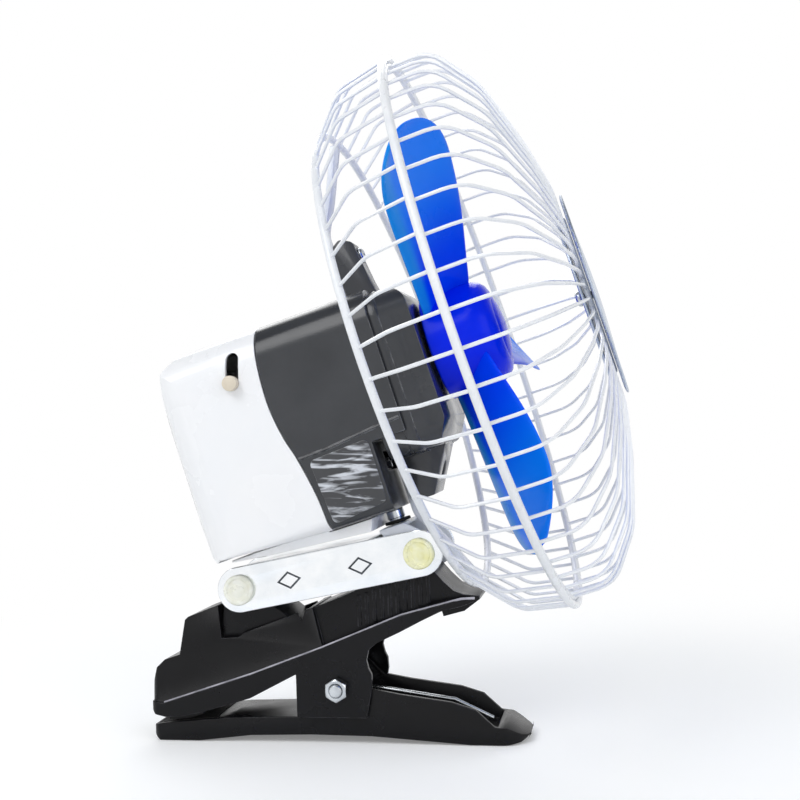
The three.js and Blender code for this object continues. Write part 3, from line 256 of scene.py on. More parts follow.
def makeFinish(name, look):
    material = bpy.data.materials.new(name)
    tree = emptied(material)
    place = tree.nodes.new("ShaderNodeTexCoord").outputs["Object"]
    shader = add(tree, "BsdfPrincipled", Metallic=look.get("metal", 0.0))
    sockets = shader.inputs
    sockets["Coat Weight"].default_value = look.get("coat", 0.0)
    sockets["Coat Roughness"].default_value = 0.08
    sockets["Specular IOR Level"].default_value = look.get("specular", 0.5)
    scale, amount = look["tone"]
    colour = useGroup(tree, "tone", Vector=place, Base=tint(*look["base"]), Shade=tint(*look["shade"]),
                      Scale=scale, Amount=amount)
    scale, ripple, depth = look["grain"]
    grain = useGroup(tree, "grain", Vector=place, Scale=scale, Ripple=ripple)
    bump = add(tree, "Bump", Strength=1.0, Distance=depth, Height=grain)
    # the edge colour is partly rubbing and partly painted light: painted highlight on lighter edges, painted
    # shade on darker ones
    if "edge" in look:
        radius, breakUp, amount = look["edgeShare"]
        wearAndLight = useGroup(tree, "wearAndLight", Vector=place, Radius=radius, Break=breakUp, Amount=amount)
        colour = blend(tree, wearAndLight, colour, tint(*look["edge"]))
        connect(tree, bump.inputs["Normal"], wearAndLight.outputs["Normal"])
    connect(tree, sockets["Base Color"], colour)
    scale, low, high = look["gloss"]
    gloss = useGroup(tree, "gloss", Vector=place, Scale=scale, Low=low, High=high)
    connect(tree, sockets["Roughness"], gloss)
    connect(tree, sockets["Normal"], bump)
    connect(tree, tree.nodes.new("ShaderNodeOutputMaterial").inputs["Surface"], shader)
    return material


def shaderNode(tree):
    return next(node for node in tree.nodes if node.type == "BSDF_PRINCIPLED")


finishes = {name: makeFinish(name, look) for name, look in finishLooks.items()}
print("finishes made:", len(finishes))


# modelling helpers
def makeActive(piece):
    if bpy.context.object and bpy.context.object.mode != "OBJECT":
        bpy.ops.object.mode_set(mode="OBJECT")
    bpy.ops.object.select_all(action="DESELECT")
    piece.select_set(True)
    bpy.context.view_layer.objects.active = piece


def startEdit(piece, action="DESELECT"):
    makeActive(piece)
    bpy.ops.object.mode_set(mode="EDIT")
    bpy.ops.mesh.select_mode(type="VERT")
    bpy.ops.mesh.select_all(action=action)


def endEdit():
    bpy.ops.object.mode_set(mode="OBJECT")


def faceOutwards():
    bpy.ops.mesh.select_all(action="SELECT")
    bpy.ops.mesh.normals_make_consistent(inside=False)


def moveVertex(piece, index, target):
    mesh = bmesh.from_edit_mesh(piece.data)
    mesh.verts.ensure_lookup_table()
    bpy.ops.mesh.select_all(action="DESELECT")
    mesh.verts[index].select_set(True)
    bpy.ops.transform.translate(value=Vector(target) - mesh.verts[index].co)


def applied(piece, kind, **settings):
    modifier = piece.modifiers.new(kind.title(), kind)
    for key, value in settings.items():
        setattr(modifier, key, value)
    makeActive(piece)
    bpy.ops.object.modifier_apply(modifier=modifier.name)
    return piece


def combined(piece, operation, *others):
    for other in others:
        applied(piece, "BOOLEAN", object=other, operation=operation, solver="EXACT")
        bpy.data.objects.remove(other, do_unlink=True)
    return piece


def cut(piece, *others):
    return combined(piece, "DIFFERENCE", *others)


def softened(piece, width, segments=3, angle=30):
    return applied(piece, "BEVEL", width=width, segments=segments, limit_method="ANGLE",
                   angle_limit=math.radians(angle), use_clamp_overlap=False, harden_normals=False)


# neighbouring corners drawn together, so that a bevel has no tiny edges to cross, and flat faces made whole
def evened(piece, distance, angle):
    startEdit(piece, "SELECT")
    bpy.ops.mesh.remove_doubles(threshold=distance)
    bpy.ops.mesh.dissolve_limited(angle_limit=math.radians(angle))
    endEdit()
    return piece


def box(left, bottom, right, top):
    return [(left, bottom), (right, bottom), (right, top), (left, top)]


# the corners of an outline turned into short arcs
def arcs(corners, radii, steps=6):
    points = []
    for index, corner in enumerate(corners):
        radius = radii[index] if isinstance(radii, (list, tuple)) else radii
        here, before = Vector(corner), Vector(corners[index - 1])
        after = Vector(corners[(index + 1) % len(corners)])
        if radius <= 0:
            points.append(here)
            continue
        first, second = (before - here).normalized(), (after - here).normalized()
        opening = first.angle(second)
        room = 0.49 * min((before - here).length, (after - here).length)
        reach = min(radius / math.tan(opening / 2), room)
        radius = reach * math.tan(opening / 2)
        centre = here + (first + second).normalized() * radius / math.sin(opening / 2)
        start = math.atan2(*reversed(here + first * reach - centre))
        end = math.atan2(*reversed(here + second * reach - centre))
        sweep = (end - start + math.pi) % math.tau - math.pi
        for step in range(steps + 1):
            angle = start + sweep * step / steps
            points.append(centre + Vector((math.cos(angle), math.sin(angle))) * radius)
    return points


# an outline drawn corner by corner and extruded across it; axis is the way it is pushed
def slab(corners, axis, low, high):
    bpy.ops.mesh.primitive_circle_add(vertices=len(corners), radius=20, fill_type="NGON")
    piece = bpy.context.object
    startEdit(piece)
    number = "XYZ".index(axis)
    for index, corner in enumerate(corners):
        moveVertex(piece, index, (*corner[:number], low, *corner[number:]))
    bpy.ops.mesh.select_all(action="SELECT")
    reach = tuple(high - low if letter == axis else 0 for letter in "XYZ")
    bpy.ops.mesh.extrude_region_move(TRANSFORM_OT_translate={"value": reach})
    faceOutwards()
    endEdit()
    return piece


# a disc grown along Z by extruding and resizing its end, one (radius, height) after another
def turned(profile, around=48):
    radius, height = profile[0]
    bpy.ops.mesh.primitive_circle_add(vertices=around, radius=max(radius, 0.01), fill_type="NGON",
                                      location=(0, 0, 0))
    piece = bpy.context.object
    startEdit(piece, "SELECT")
    bpy.ops.transform.translate(value=(0, 0, height))
    for nextRadius, nextHeight in profile[1:]:
        bpy.ops.mesh.extrude_region_move(TRANSFORM_OT_translate={"value": (0, 0, nextHeight - height)})
        ratio = max(nextRadius, 0.01) / max(radius, 0.01)
        bpy.ops.transform.resize(value=(ratio, ratio, 1), center_override=(0, 0, nextHeight))
        radius, height = nextRadius, nextHeight
    faceOutwards()
    endEdit()
    return piece


# a plain round bar, for a boss or a bore
def bar(radius, low, high, matrix, around=32):
    return settle(turned([(radius, low), (radius, high)], around), matrix)


# a round rod bent through the given places
def bentRod(places, radius, resolution=2, closed=False):
    bpy.ops.curve.primitive_bezier_curve_add()
    piece = bpy.context.object
    piece.data.splines.clear()
    spline = piece.data.splines.new("POLY")
    spline.points.add(len(places) - 1)
    for point, spot in zip(spline.points, places):
        point.co = (*spot, 1)
    spline.use_cyclic_u = closed
    piece.data.bevel_depth = radius
    piece.data.bevel_resolution = resolution
    piece.data.use_fill_caps = not closed
    makeActive(piece)
    bpy.ops.object.convert(target="MESH")
    return bpy.context.object


# a rod bent to a ring about the fan's axis
def ringRod(radius, tube, axial, steps=144):
    places = [(axial, radius * math.sin(angle), radius * math.cos(angle))
              for angle in (math.tau * step / steps for step in range(steps))]
    return bentRod(places, tube, 3, closed=True)


def copied(piece, matrix):
    twin = bpy.data.objects.new(piece.name, piece.data.copy())
    scene.collection.objects.link(twin)
    twin.data.transform(matrix)
    return twin


def joined(first, *others):
    makeActive(first)
    for other in others:
        other.select_set(True)
    bpy.ops.object.join()
    return bpy.context.object


def settle(piece, matrix):
    makeActive(piece)
    piece.matrix_world = matrix @ piece.matrix_world
    bpy.ops.object.transform_apply(location=True, rotation=True, scale=True)
    return piece


nodeFinishes = {}


def finishPiece(piece, name, body, finish, *replaced, smooth=32, normals=True, placed=False):
    if not placed:
        settle(piece, bodyFrames[body])
    piece.name = piece.data.name = name
    startEdit(piece, "SELECT")
    bpy.ops.mesh.remove_doubles(threshold=0.000001)
    if normals:
        bpy.ops.mesh.normals_make_consistent(inside=False)
    endEdit()
    makeActive(piece)
    bpy.ops.object.shade_smooth_by_angle(angle=math.radians(smooth))
    piece.data.materials.clear()
    piece.data.materials.append(finishes[finish])
    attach(piece, body)
    if replaced:
        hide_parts(*replaced)
        nodeFinishes.update(dict.fromkeys(replaced, finish))
    return piece


# a CAD node's copy with its edges rounded
def finishCopy(node, name, body, finish, width, segments=2, angle=30, smooth=32):
    piece = bpy.data.objects.new(name, nodes[node].data.copy())
    scene.collection.objects.link(piece)
    softened(evened(piece, 0.000002, 0.5), width * 0.001, segments, angle)
    finishPiece(piece, name, body, finish, node, smooth=smooth, normals=False, placed=True)


# guards: each a ring, an inner ring and wires fanned out from one bent wire; bends are (axial, radius)
guardShape = {
    "wires": 54, "wire": 0.65,
    "rear": {"ring": (108.5, 1.45), "inner": (90.6, 1.5, -32.3), "turns": 144,
             "bend": [(0, 108.5), (-18.5, 105), (-32.3, 90.6)], "radii": [0, 9, 0], "steps": 5},
    "front": {"ring": (105.55, 1.2), "inner": (30, 1.2, 41), "turns": 72,
              "bend": [(0, 105.55), (16, 105.55), (29, 88), (37, 62), (41, 43), (41, 30)],
              "radii": [0, 12, 26, 40, 30, 0], "steps": 4}}


def guard(name, node, shape):
    ring, inner = ringRod(*shape["ring"], 0), ringRod(*shape["inner"], shape["turns"])
    bend = arcs(shape["bend"], shape["radii"], shape["steps"])
    first = bentRod([(axial, 0, radius) for axial, radius in bend], guardShape["wire"], 1)
    pitch = 360 / guardShape["wires"]
    wires = [copied(first, turn(-pitch * (index + 0.5), "X")) for index in range(guardShape["wires"])]
    bpy.data.objects.remove(first, do_unlink=True)
    finishPiece(joined(ring, inner, *wires), name, "head", "whiteWire", node, smooth=50, normals=False)


# the strap is drawn from its ends on the inner ring, over two knees, to its feet on the motor bracket
strapShape = {"axial": -48.2, "sheet": 2, "width": 8, "foot": 58, "knee": 71, "rise": 6.5, "end": 89.2,
              "ringBack": -34.7, "ringFront": -32.1, "bore": 3.4, "bends": [0, 6, 8, 8, 6, 0]}


def strapBar():
    shape = strapShape
    half, end, rise = shape["sheet"] / 2, shape["end"], shape["rise"]
    low, high = shape["axial"] - half, shape["axial"] + half
    back = [(shape["ringBack"], end), (low + rise, shape["knee"]), (low, shape["foot"])]
    front = [(shape["ringFront"], -end), (high + rise, 1 - shape["knee"]), (high, 0.6 - shape["foot"])]
    edge = back + [(x, -z) for x, z in reversed(back)] + front + [(x, -z) for x, z in reversed(front)]
    strap = slab(arcs(edge, shape["bends"] * 2, 4), "Y", -shape["width"] / 2, shape["width"] / 2)
    cut(strap, bar(shape["bore"], low - 2.8, high + 3.2, alongAxis))
    return softened(strap, 0.35, 2, 40)


guard("rearGuard", "rear_guard", guardShape["rear"])
finishPiece(strapBar(), "guardStrap", "head", "whitePaint", "guard_strap")
guard("frontGuard", "front_guard", guardShape["front"])

badgeShape = {"front": [(0.5, 42.5), (37.6, 42.5), (39.2, 42.8), (39.6, 43.2), (39.2, 43.7), (38, 43.8),
                        (36.5, 43.4), (34, 43.5), (20, 44.3), (8, 44.8), (0.5, 44.9)],
              "back": [(0.5, 38.3), (32.2, 38.3), (33, 38.6), (33, 39.2), (32.2, 39.5), (0.5, 39.5)]}
for name, node, smooth in (("Front", "front", 25), ("Back", "back", 32)):
    badge = settle(turned(badgeShape[node], 96), alongAxis)
    finishPiece(badge, "badge" + name, "head", "silverDisc", "badge_" + node, smooth=smooth)
print("guards made")

# fan: one blade from a flat grid, its rows drawn out station by station
# each station is (radius, turn and axial place of the front edge, then of the rear edge)
bladeShape = {
    "stations": [(18.6, 46, -1, -22, -19), (24, 40, 0.6, -21, -18.4), (32, 32, 2.8, -18.6, -17.7),
                 (43, 27, 6, -17, -16.8), (55, 24, 8.6, -16, -16), (66, 23, 10.2, -15, -15),
                 (76, 21.6, 11, -14, -14), (83, 17.5, 8.6, -12, -12), (87, 11.5, 4.4, -9, -9),
                 (89, 4, 0, -4, -5)],
    "across": 6, "camber": -1.2, "sheet": 1.5, "turns": (-38, 82, 202)}
bladeLook = {"base": (0, 70, 255), "shade": (0, 54, 244), "outer": (4, 124, 255), "strip": (24, 140, 236),
             "tone": (40, 0.6), "gloss": (50, 0.16, 0.3), "grain": (1500, 0.3, 0.000006), "specular": 0.1}


# a blade grows lighter towards its tip, and a pale strip runs along its rear edge
def bladeMaterial():
    material = makeFinish("bladeBlue", bladeLook)
    tree = material.node_tree
    base = shaderNode(tree).inputs["Base Color"]
    spread = add(tree, "SeparateXYZ", i0=tree.nodes.new("ShaderNodeUVMap")).outputs
    outer = ramp(tree, spread["Y"], 0.2, 0.62, kind="SMOOTHSTEP")
    graded = blend(tree, outer, base.links[0].from_socket, tint(*bladeLook["outer"]))
    strip = ramp(tree, spread["X"], 0.24, 0.1, kind="SMOOTHSTEP")
    connect(tree, base, blend(tree, strip, graded, tint(*bladeLook["strip"])))
    return material


finishes["bladeBlue"] = bladeMaterial()


def fanBlade():
    stations = bladeShape["stations"]
    rows = len(stations) - 1
    bpy.ops.mesh.primitive_grid_add(x_subdivisions=bladeShape["across"], y_subdivisions=rows, size=2)
    piece = bpy.context.object
    startEdit(piece)
    for index, spot in enumerate([vertex.co.copy() for vertex in bmesh.from_edit_mesh(piece.data).verts]):
        share = (spot.x + 1) / 2
        radius, frontTurn, frontAxial, rearTurn, rearAxial = stations[round((spot.y + 1) / 2 * rows)]
        angle = math.radians(rearTurn + (frontTurn - rearTurn) * share)
        bow = 4 * bladeShape["camber"] * share * (1 - share)
        axial = rearAxial + (frontAxial - rearAxial) * share + bow
        moveVertex(piece, index, (axial, radius * math.sin(angle), radius * math.cos(angle)))
    endEdit()
    applied(piece, "SOLIDIFY", thickness=bladeShape["sheet"], offset=0)
    return applied(piece, "SUBSURF", levels=2, render_levels=2)


firstBlade = fanBlade()
blades = joined(*[copied(firstBlade, turn(-degrees, "X")) for degrees in bladeShape["turns"]])
bpy.data.objects.remove(firstBlade, do_unlink=True)
finishPiece(blades, "fanBlades", "fan", "bladeBlue", "fan_blades", smooth=60)

hubShape = {"profile": [(18.6, -20.4), (20.1, -20.4), (20.5, -19.9), (20.5, -4), (20.4, -1.4), (19.9, 1),
                        (18.8, 3.2), (17, 4.9), (14.6, 5.9), (13.4, 6.1), (12.9, 5.8), (12.4, 6.2),
                        (9, 7.2), (4, 7.9), (0.5, 8)],
            "hollow": [(18.4, -21), (18.4, -4), (15, 1), (0.5, 2.6)],
            "boss": [(6, -14.4), (6.4, -14), (6.4, 3)], "bore": [(4.2, -15), (4.2, 2.4)]}
hub = cut(turned(hubShape["profile"], 72), turned(hubShape["hollow"], 72))
boss = cut(turned(hubShape["boss"]), turned(hubShape["bore"]))
finishPiece(settle(joined(hub, boss), alongAxis), "fanHub", "fan", "royalBlue", "fan_blades", smooth=24)
print("fan made")

# motor housing: a white rear cover and a dark front shell that meet on a bowed line; lines and hollows are
# (along, up), sections (across, up) and plans (along, across)
housingShape = {
    "half": 30, "top": 29, "depth": 53.5, "topCorner": 14, "bottomCorner": 5,
    "frontWall": 2, "rearWall": 1.7,
    "joint": [(-81.2, 31), (-82.3, 20.2), (-83.6, 8), (-83.7, -3.4), (-82, -15), (-79.4, -24.6),
              (-76.6, -40.2), (-75.8, -53.5)],
    "frontLine": [(-50.3, -53.5), (-50.3, -27), (-37, -27), (-37, 31)],
    "frontHollow": [(-95, 60), (-95, -70), (-52.3, -70), (-52.3, -25), (-30, -25), (-30, 60)],
    "leverWindow": (-53.3, -38.7, -49.3, -31.2),
    "spindleBoss": (6, -53, -38), "spindleBore": (3.4, -54.5, -36.7),
    "rearLine": [(-122, -53.5), (-124.6, -49.5), (-127, -20), (-127.3, -5), (-124.2, 16), (-121.8, 23.6),
                 (-116, 28.2), (-108, 31)],
    "rearBends": [3, 3, 40, 30, 20, 6, 6, 0],
    "rearHollow": [(-70, 40), (-70, -60), (-119.6, -60), (-122.4, -49), (-124.8, -20), (-125.1, -5),
                   (-122, 15.6), (-119.8, 22.2), (-115, 26), (-108, 40)],
    "rearPlan": (-127.3, -30, -60, 30), "rearPlanHollow": (-125.3, -28, -50, 28),
    "tray": [(-118, -52.5), (-118, -53.3), (-100, -55.4), (-62.5, -58.5), (-60.5, -53.8), (-78, -53.8),
             (-78, -52.5)],
    "slot": {"middle": (-93, 15), "half": 2.5, "reach": 7, "bend": 2.45},
    "switchWindow": (-110, -4, -98, 4), "gland": (4.3, -135, -119), "glandPlace": (0, 14, -20),
    "screws": (17, -38), "screwBoss": (4.8, -124, -114),
    "screwWell": [(3.3, -132), (3.3, -120), (1.8, -119.9), (1.8, -110)]}


def smoothLine(points, steps=4):
    line = []
    for index in range(len(points) - 1):
        a, b = Vector(points[max(index - 1, 0)]), Vector(points[index])
        c, d = Vector(points[index + 1]), Vector(points[min(index + 2, len(points) - 1)])
        for step in range(steps):
            t = step / steps
            line.append(0.5 * ((2 * b) + (c - a) * t + (2 * a - 5 * b + 4 * c - d) * t * t
                               + (3 * b - a - 3 * c + d) * t ** 3))
    line.append(Vector(points[-1]))
    return line


def sectionBlock(inset, low, high):
    half, top, depth, topCorner, bottomCorner = (
        housingShape[key] - inset for key in ("half", "top", "depth", "topCorner", "bottomCorner"))
    radii = [bottomCorner, bottomCorner, topCorner, topCorner]
    return slab(arcs(box(-half, -depth, half, top), radii, 8), "X", low, high)


def frontShell():
    shape = housingShape
    joint = [point + Vector((0.3, 0)) for point in smoothLine(shape["joint"])]
    side = slab(joint + shape["frontLine"], "Y", -40, 40)
    shell = combined(sectionBlock(0, -95, -30), "INTERSECT", side)
    hollow = slab(shape["frontHollow"], "Y", -40, 40)
    cut(shell, combined(hollow, "INTERSECT", sectionBlock(shape["frontWall"], -96, -29)))
    # the spindle's boss stands on the floor, and the lever reaches out through a window in the front wall
    seat = shift(spindleAxial, 0, 0)
    combined(shell, "UNION", bar(*shape["spindleBoss"], seat, 40))
    window = slab(box(*shape["leverWindow"]), "Y", -16, 16)
    cut(shell, bar(*shape["spindleBore"], seat, 40), window)
    return softened(shell, 0.5, 3, 40)


def slantedSlot():
    tilt, slot = math.radians(headLean), housingShape["slot"]
    across = Vector((math.cos(tilt), -math.sin(tilt)))
    upwards = Vector((math.sin(tilt), math.cos(tilt)))
    corners = [Vector(slot["middle"]) + across * x + upwards * z
               for x, z in box(-slot["half"], -slot["reach"], slot["half"], slot["reach"])]
    return slab(arcs(corners, slot["bend"], 8), "Y", -34, -26)


def rearShell():
    shape = housingShape
    side = slab(smoothLine(shape["joint"]) + arcs(shape["rearLine"], shape["rearBends"], 4), "Y", -40, 40)
    plan = slab(arcs(box(*shape["rearPlan"]), [14, 0, 0, 14], 10), "Z", -80, 60)
    shell = combined(sectionBlock(0, -140, -50), "INTERSECT", side, plan)
    hollowSide = slab(shape["rearHollow"], "Y", -40, 40)
    hollowPlan = slab(arcs(box(*shape["rearPlanHollow"]), [12, 0, 0, 12], 8), "Z", -80, 60)
    cut(shell, combined(sectionBlock(shape["rearWall"], -140, -50), "INTERSECT", hollowSide, hollowPlan))
    combined(shell, "UNION", slab(shape["tray"], "Y", -24, 24))
    window = slab(box(*shape["switchWindow"]), "Z", -62, -49)
    cut(shell, slantedSlot(), window, bar(*shape["gland"], shift(*shape["glandPlace"]) @ alongAxis))
    across, up = shape["screws"]
    for side in (-across, across):
        seat = shift(0, side, up) @ alongAxis
        combined(shell, "UNION", bar(*shape["screwBoss"], seat))
        cut(shell, settle(turned(shape["screwWell"], 32), seat))
    return softened(evened(shell, 0.25, 0.3), 0.4, 3, 40)


frontHousing = frontShell()
# a bead along each side marks the height where the lower panels are set in; its route is (along, out, up)
beadShape = {"height": -24.5, "radius": 0.55,
             "route": [(-78.5, 29.9, 0), (-66, 29.95, 0.5), (-52, 29.95, 1.9), (-38, 29.9, 3.1)]}
for side in sides.values():
    route = [(along, side * out, beadShape["height"] + up) for along, out, up in beadShape["route"]]
    frontHousing = joined(frontHousing, bentRod(route, beadShape["radius"]))


# the film on the lower panel is painted with pale reflections that run forward and slightly down
def filmReflectionMaterial():
    material = makeFinish("slateFilmReflections", dict(finishLooks["slatePlastic"], coat=0.6))
    tree = material.node_tree
    base = shaderNode(tree).inputs["Base Color"]
    place = tree.nodes.new("ShaderNodeTexCoord").outputs["Object"]
    lie = add(tree, "Mapping", i0=place, Rotation=(0, math.radians(-22), 0), Scale=(1, 1, 6.5))
    mask = useGroup(tree, "streaks", Vector=lie, Scale=64.0, From=0.5, To=0.62)
    share = product(tree, mask, 0.85)
    connect(tree, base, blend(tree, share, base.links[0].from_socket, tint(226, 230, 238)))
    return material


finishes["slateFilmReflections"] = filmReflectionMaterial()
finishPiece(frontHousing, "frontHousing", "head", "slatePlastic", "front_housing", smooth=26)
panelShape = {"corners": [(-75.4, -26.4), (-51.6, -25.2), (-51.6, -49.4), (-73.4, -51.6)], "bend": 2.2,
              "inner": 29.6, "outer": 30.25}
# the set-in side panels carry the painted pale reflections of the film
for sideName, side in sides.items():
    panel = slab(arcs(panelShape["corners"], panelShape["bend"], 5), "Y", side * panelShape["inner"],
                 side * panelShape["outer"])
    finishPiece(softened(panel, 0.2, 2, 40), "sidePanel" + sideName, "head", "slateFilmReflections", smooth=26)
rearCover = finishPiece(rearShell(), "rearCover", "head", "whitePlastic", "rear_cover", smooth=26)
# the large flat sides shade flat up to their rounded edges
for shell in (frontHousing, rearCover):
    applied(shell, "WEIGHTED_NORMAL", keep_sharp=True, weight=100)
print("housing made")

# motor bracket: a rounded block with an upright bar above and a gusset below, both (along, up)
bracketShape = {
    "rear": -46.9, "front": -22, "top": 26.7, "bottom": -36, "half": 27.7, "corners": [8, 8, 12, 12],
    "band": (-38, -33.6), "bandRise": 0.5, "seat": (3.3, -38, -20), "seatHeight": 45,
    "nose": [(8.6, -24), (8.6, -22.6), (7.5, -22)],
    "upper": {"half": 5.5, "bends": [0, 1.5, 2, 2.5, 6, 0],
              "line": [(-46.9, 18), (-46.9, 50.4), (-42.9, 53), (-38, 50.4), (-36, 34), (-33, 18)]},
    "lower": {"half": 11, "bends": [0, 0, 4, 3, 1, 0.5, 0.5],
              "line": [(-46.9, -34), (-24.4, -30), (-27.7, -36.2), (-35.1, -48.7), (-37.6, -53),
                       (-44.9, -53), (-46.9, -51)]}}


def motorBlock():
    shape = bracketShape
    rear, front, top, bottom, half = (shape[key] for key in ("rear", "front", "top", "bottom", "half"))
    line = [(rear, bottom), (front - 5, bottom), (front, bottom + 9), (front, top), (rear, top)]
    block = slab(arcs(line, [0, 3, 4, 9, 0], 8), "Y", -half, half)
    section = slab(arcs(box(-half, bottom, half, top), shape["corners"], 8), "X", -60, -10)
    combined(block, "INTERSECT", section)
    # a raised band runs round the block behind its front edge
    rise = shape["bandRise"]
    around = box(-half - rise, bottom - rise, half + rise, top + rise)
    band = slab(arcs(around, shape["corners"], 8), "X", *shape["band"])
    bars = [slab(arcs(part["line"], part["bends"], 4), "Y", -part["half"], part["half"])
            for part in (shape["upper"], shape["lower"])]
    nose = settle(turned(shape["nose"], 40), alongAxis)
    combined(block, "UNION", band, *bars)
    for height in (-shape["seatHeight"], shape["seatHeight"]):
        cut(block, bar(*shape["seat"], shift(0, 0, height) @ alongAxis))
    return joined(softened(block, 0.4, 2, 35), nose)


finishPiece(motorBlock(), "motorBracket", "head", "slatePlastic", "motor_bracket", smooth=26)
print("motor bracket made")

# clamp: the jaws' edges rounded, with a pale rod along the upper jaw's ledge as a painted highlight
finishCopy("upper_jaw", "upperJaw", "clamp_top", "blackPlastic", 0.12, 1, 50, smooth=30)
jawShape = {"ledge": [(5.6, 15.2), (41.6, 26.5), (69.8, 36.7), (101.3, 49.1), (124.5, 55.1), (129.5, 55.3)],
            "side": 15.95, "line": 0.46}
for sideName, side in sides.items():
    ledge = [(along, side * jawShape["side"], up) for along, up in jawShape["ledge"]]
    line = bentRod(ledge, jawShape["line"])
    finishPiece(line, "jawHighlightLine" + sideName, "clamp_top", "paintedHighlightPlastic", normals=False)
finishCopy("lower_jaw", "lowerJaw", "clamp_base", "blackPlastic", 0.35, smooth=30)
finishCopy("arm_knuckle", "armKnuckle", "clamp_top", "blackPlastic", 0.35, smooth=30)

# torsion spring: a leg's places are (along from the clamp's pivot, out from the coil's end, up)
springShape = {"wire": 1.6, "radius": 5, "curls": 6, "pitch": 2.2, "steps": 24, "lead": 0.1, "over": 2.5,
               "lowerLeg": [(58, 0.5, 8.6), (43.6, 0.5, 15.4), (12.6, 0.4, 20), (5, 0.2, 16.7)],
               "upperLeg": [(11, 0.2, 37.3), (23, 0.3, 59.94)]}


# the upper leg turns with the upper jaw and takes a last quarter of a curl with it
def springRoutes():
    shape, along, up = springShape, clampPivot.x, clampPivot.z
    half = shape["curls"] * shape["pitch"] / 2
    total = shape["curls"] * shape["steps"]
    # the lower leg shows above the near wall of the handle and bends down to its heel
    coil = [(along + x, -half - y, z) for x, y, z in shape["lowerLeg"]]
    for index in range(total + 1):
        share = index / total
        angle = -math.pi / 2 - shape["lead"] - share * (shape["curls"] * math.tau + shape["over"])
        coil.append((along + shape["radius"] * math.cos(angle), (share * 2 - 1) * half,
                     up + shape["radius"] * math.sin(angle)))
    leg = coil[-shape["steps"] // 4:] + [(along + x, half + y, z) for x, y, z in shape["upperLeg"]]
    return coil, leg


coil, leg = (bentRod(route, springShape["wire"] / 2) for route in springRoutes())
finishPiece(coil, "clampSpring", "clamp_base", "zincSteel", "clamp_spring", smooth=50, normals=False)
finishPiece(leg, "springLeg", "clamp_top", "zincSteel", smooth=50, normals=False)
print("clamp made")

# fixings: nuts as (height, bore), and bolts that lie across the fan
nutShape = {"flats": 8, "chamfer": 0.55, "flange": 0.94, "high": (4, 2.6), "low": (3.2, 3.15)}


def hexNut(height, bore):
    flats, chamfer = nutShape["flats"], nutShape["chamfer"]
    corner = flats / 2 / math.cos(math.pi / 6)
    face = nutShape["flange"] * flats / 2
    nut = turned([(corner, 0), (corner, height)], 6)
    wide, mouth = corner + 0.05, bore + 0.3
    cone = turned([(face, 0), (wide, chamfer), (wide, height - chamfer), (face, height)], 64)
    combined(nut, "INTERSECT", cone)
    cut(nut, turned([(mouth, -0.1), (bore, 0.3), (bore, height - 0.3), (mouth, height + 0.1)], 40))
    return softened(nut, 0.12, 2, 35)


firstNut = hexNut(*nutShape["high"])
nutPlaces = {
    "clampNut": ("clamp_nut", "clamp_base", shift(clampPivot.x, -16.9, clampPivot.z) @ towardsNear),
    "lowerArmNut": ("lower_arm_nut", "arm", shift(0, 16.8, 0) @ towardsFar),
    "upperArmNut": ("upper_arm_nut", "arm", shift(armLength, 16.8, 0) @ towardsFar)}
for name, (node, body, matrix) in nutPlaces.items():
    finishPiece(copied(firstNut, matrix), name, body, "zincSteel", node, smooth=28)
bpy.data.objects.remove(firstNut, do_unlink=True)
lowNut = settle(hexNut(*nutShape["low"]), shift(spindleAxial, 0, -64.2))
finishPiece(lowNut, "spindleNut", "neck", "zincSteel", "spindle_nut", smooth=28)

# each shank is followed by what shows at its end
boltShape = {
    "pivot": [(4, -20.6), (4.45, -20.1), (4.45, -17.4), (4, -17), (2.5, -16.9), (2.5, 21.2), (2.1, 21.7)],
    "cap": [(2.1, -21.6), (2.5, -21.2), (2.5, 16.8), (5.5, 16.8), (5.9, 17.1), (5.9, 18), (5.6, 18.4),
            (5.1, 18.6), (4.4, 18.6), (4.2, 18.4), (2.6, 18.4), (2.3, 18.55), (0.5, 18.6)]}
boltPlaces = {
    "clampBolt": ("clamp_bolt", "clamp_base", shift(*clampPivot), "pivot", "zincSteel"),
    "lowerArmBolt": ("lower_arm_bolt", "arm", shift(0, 0, 0), "cap", "creamZinc"),
    "upperArmBolt": ("upper_arm_bolt", "arm", shift(armLength, 0, 0), "cap", "yellowZinc")}
for name, (node, body, matrix, profile, finish) in boltPlaces.items():
    bolt = settle(turned(boltShape[profile]), matrix @ towardsNear)
    finishPiece(bolt, name, body, finish, node, smooth=26)
print("fixings made")

# link arm: two plates with round ends, a web between them on top and two raised diamonds each
armShape = {"end": 8.8, "inner": 15.3, "outer": 16.5, "sheet": 1.2, "web": (4, 54), "bore": 2.8,
            "diamonds": (0.282, 0.677), "diamond": (10.6, 7.6), "drop": -0.15, "rise": 0.45,
            "slope": (0.88, 1, 0.84), "rim": 0.3, "step": 0.35}


def linkArm():
    end, inner, outer = armShape["end"], armShape["inner"], armShape["outer"]
    outline = arcs(box(-end, -end, armLength + end, end), end - 0.01, 14)
    arm, other = (slab(outline, "Y", low, high) for low, high in ((-outer, -inner), (inner, outer)))
    web = arcs(box(-outer, end - armShape["sheet"], outer, end), [0, 0, 0.6, 0.6], 3)
    combined(arm, "UNION", other, slab(web, "X", *armShape["web"]))
    for place in (0, armLength):
        cut(arm, bar(armShape["bore"], -20, 20, shift(place, 0, 0) @ towardsNear, 40))
    return softened(arm, 0.3, 3, 40)


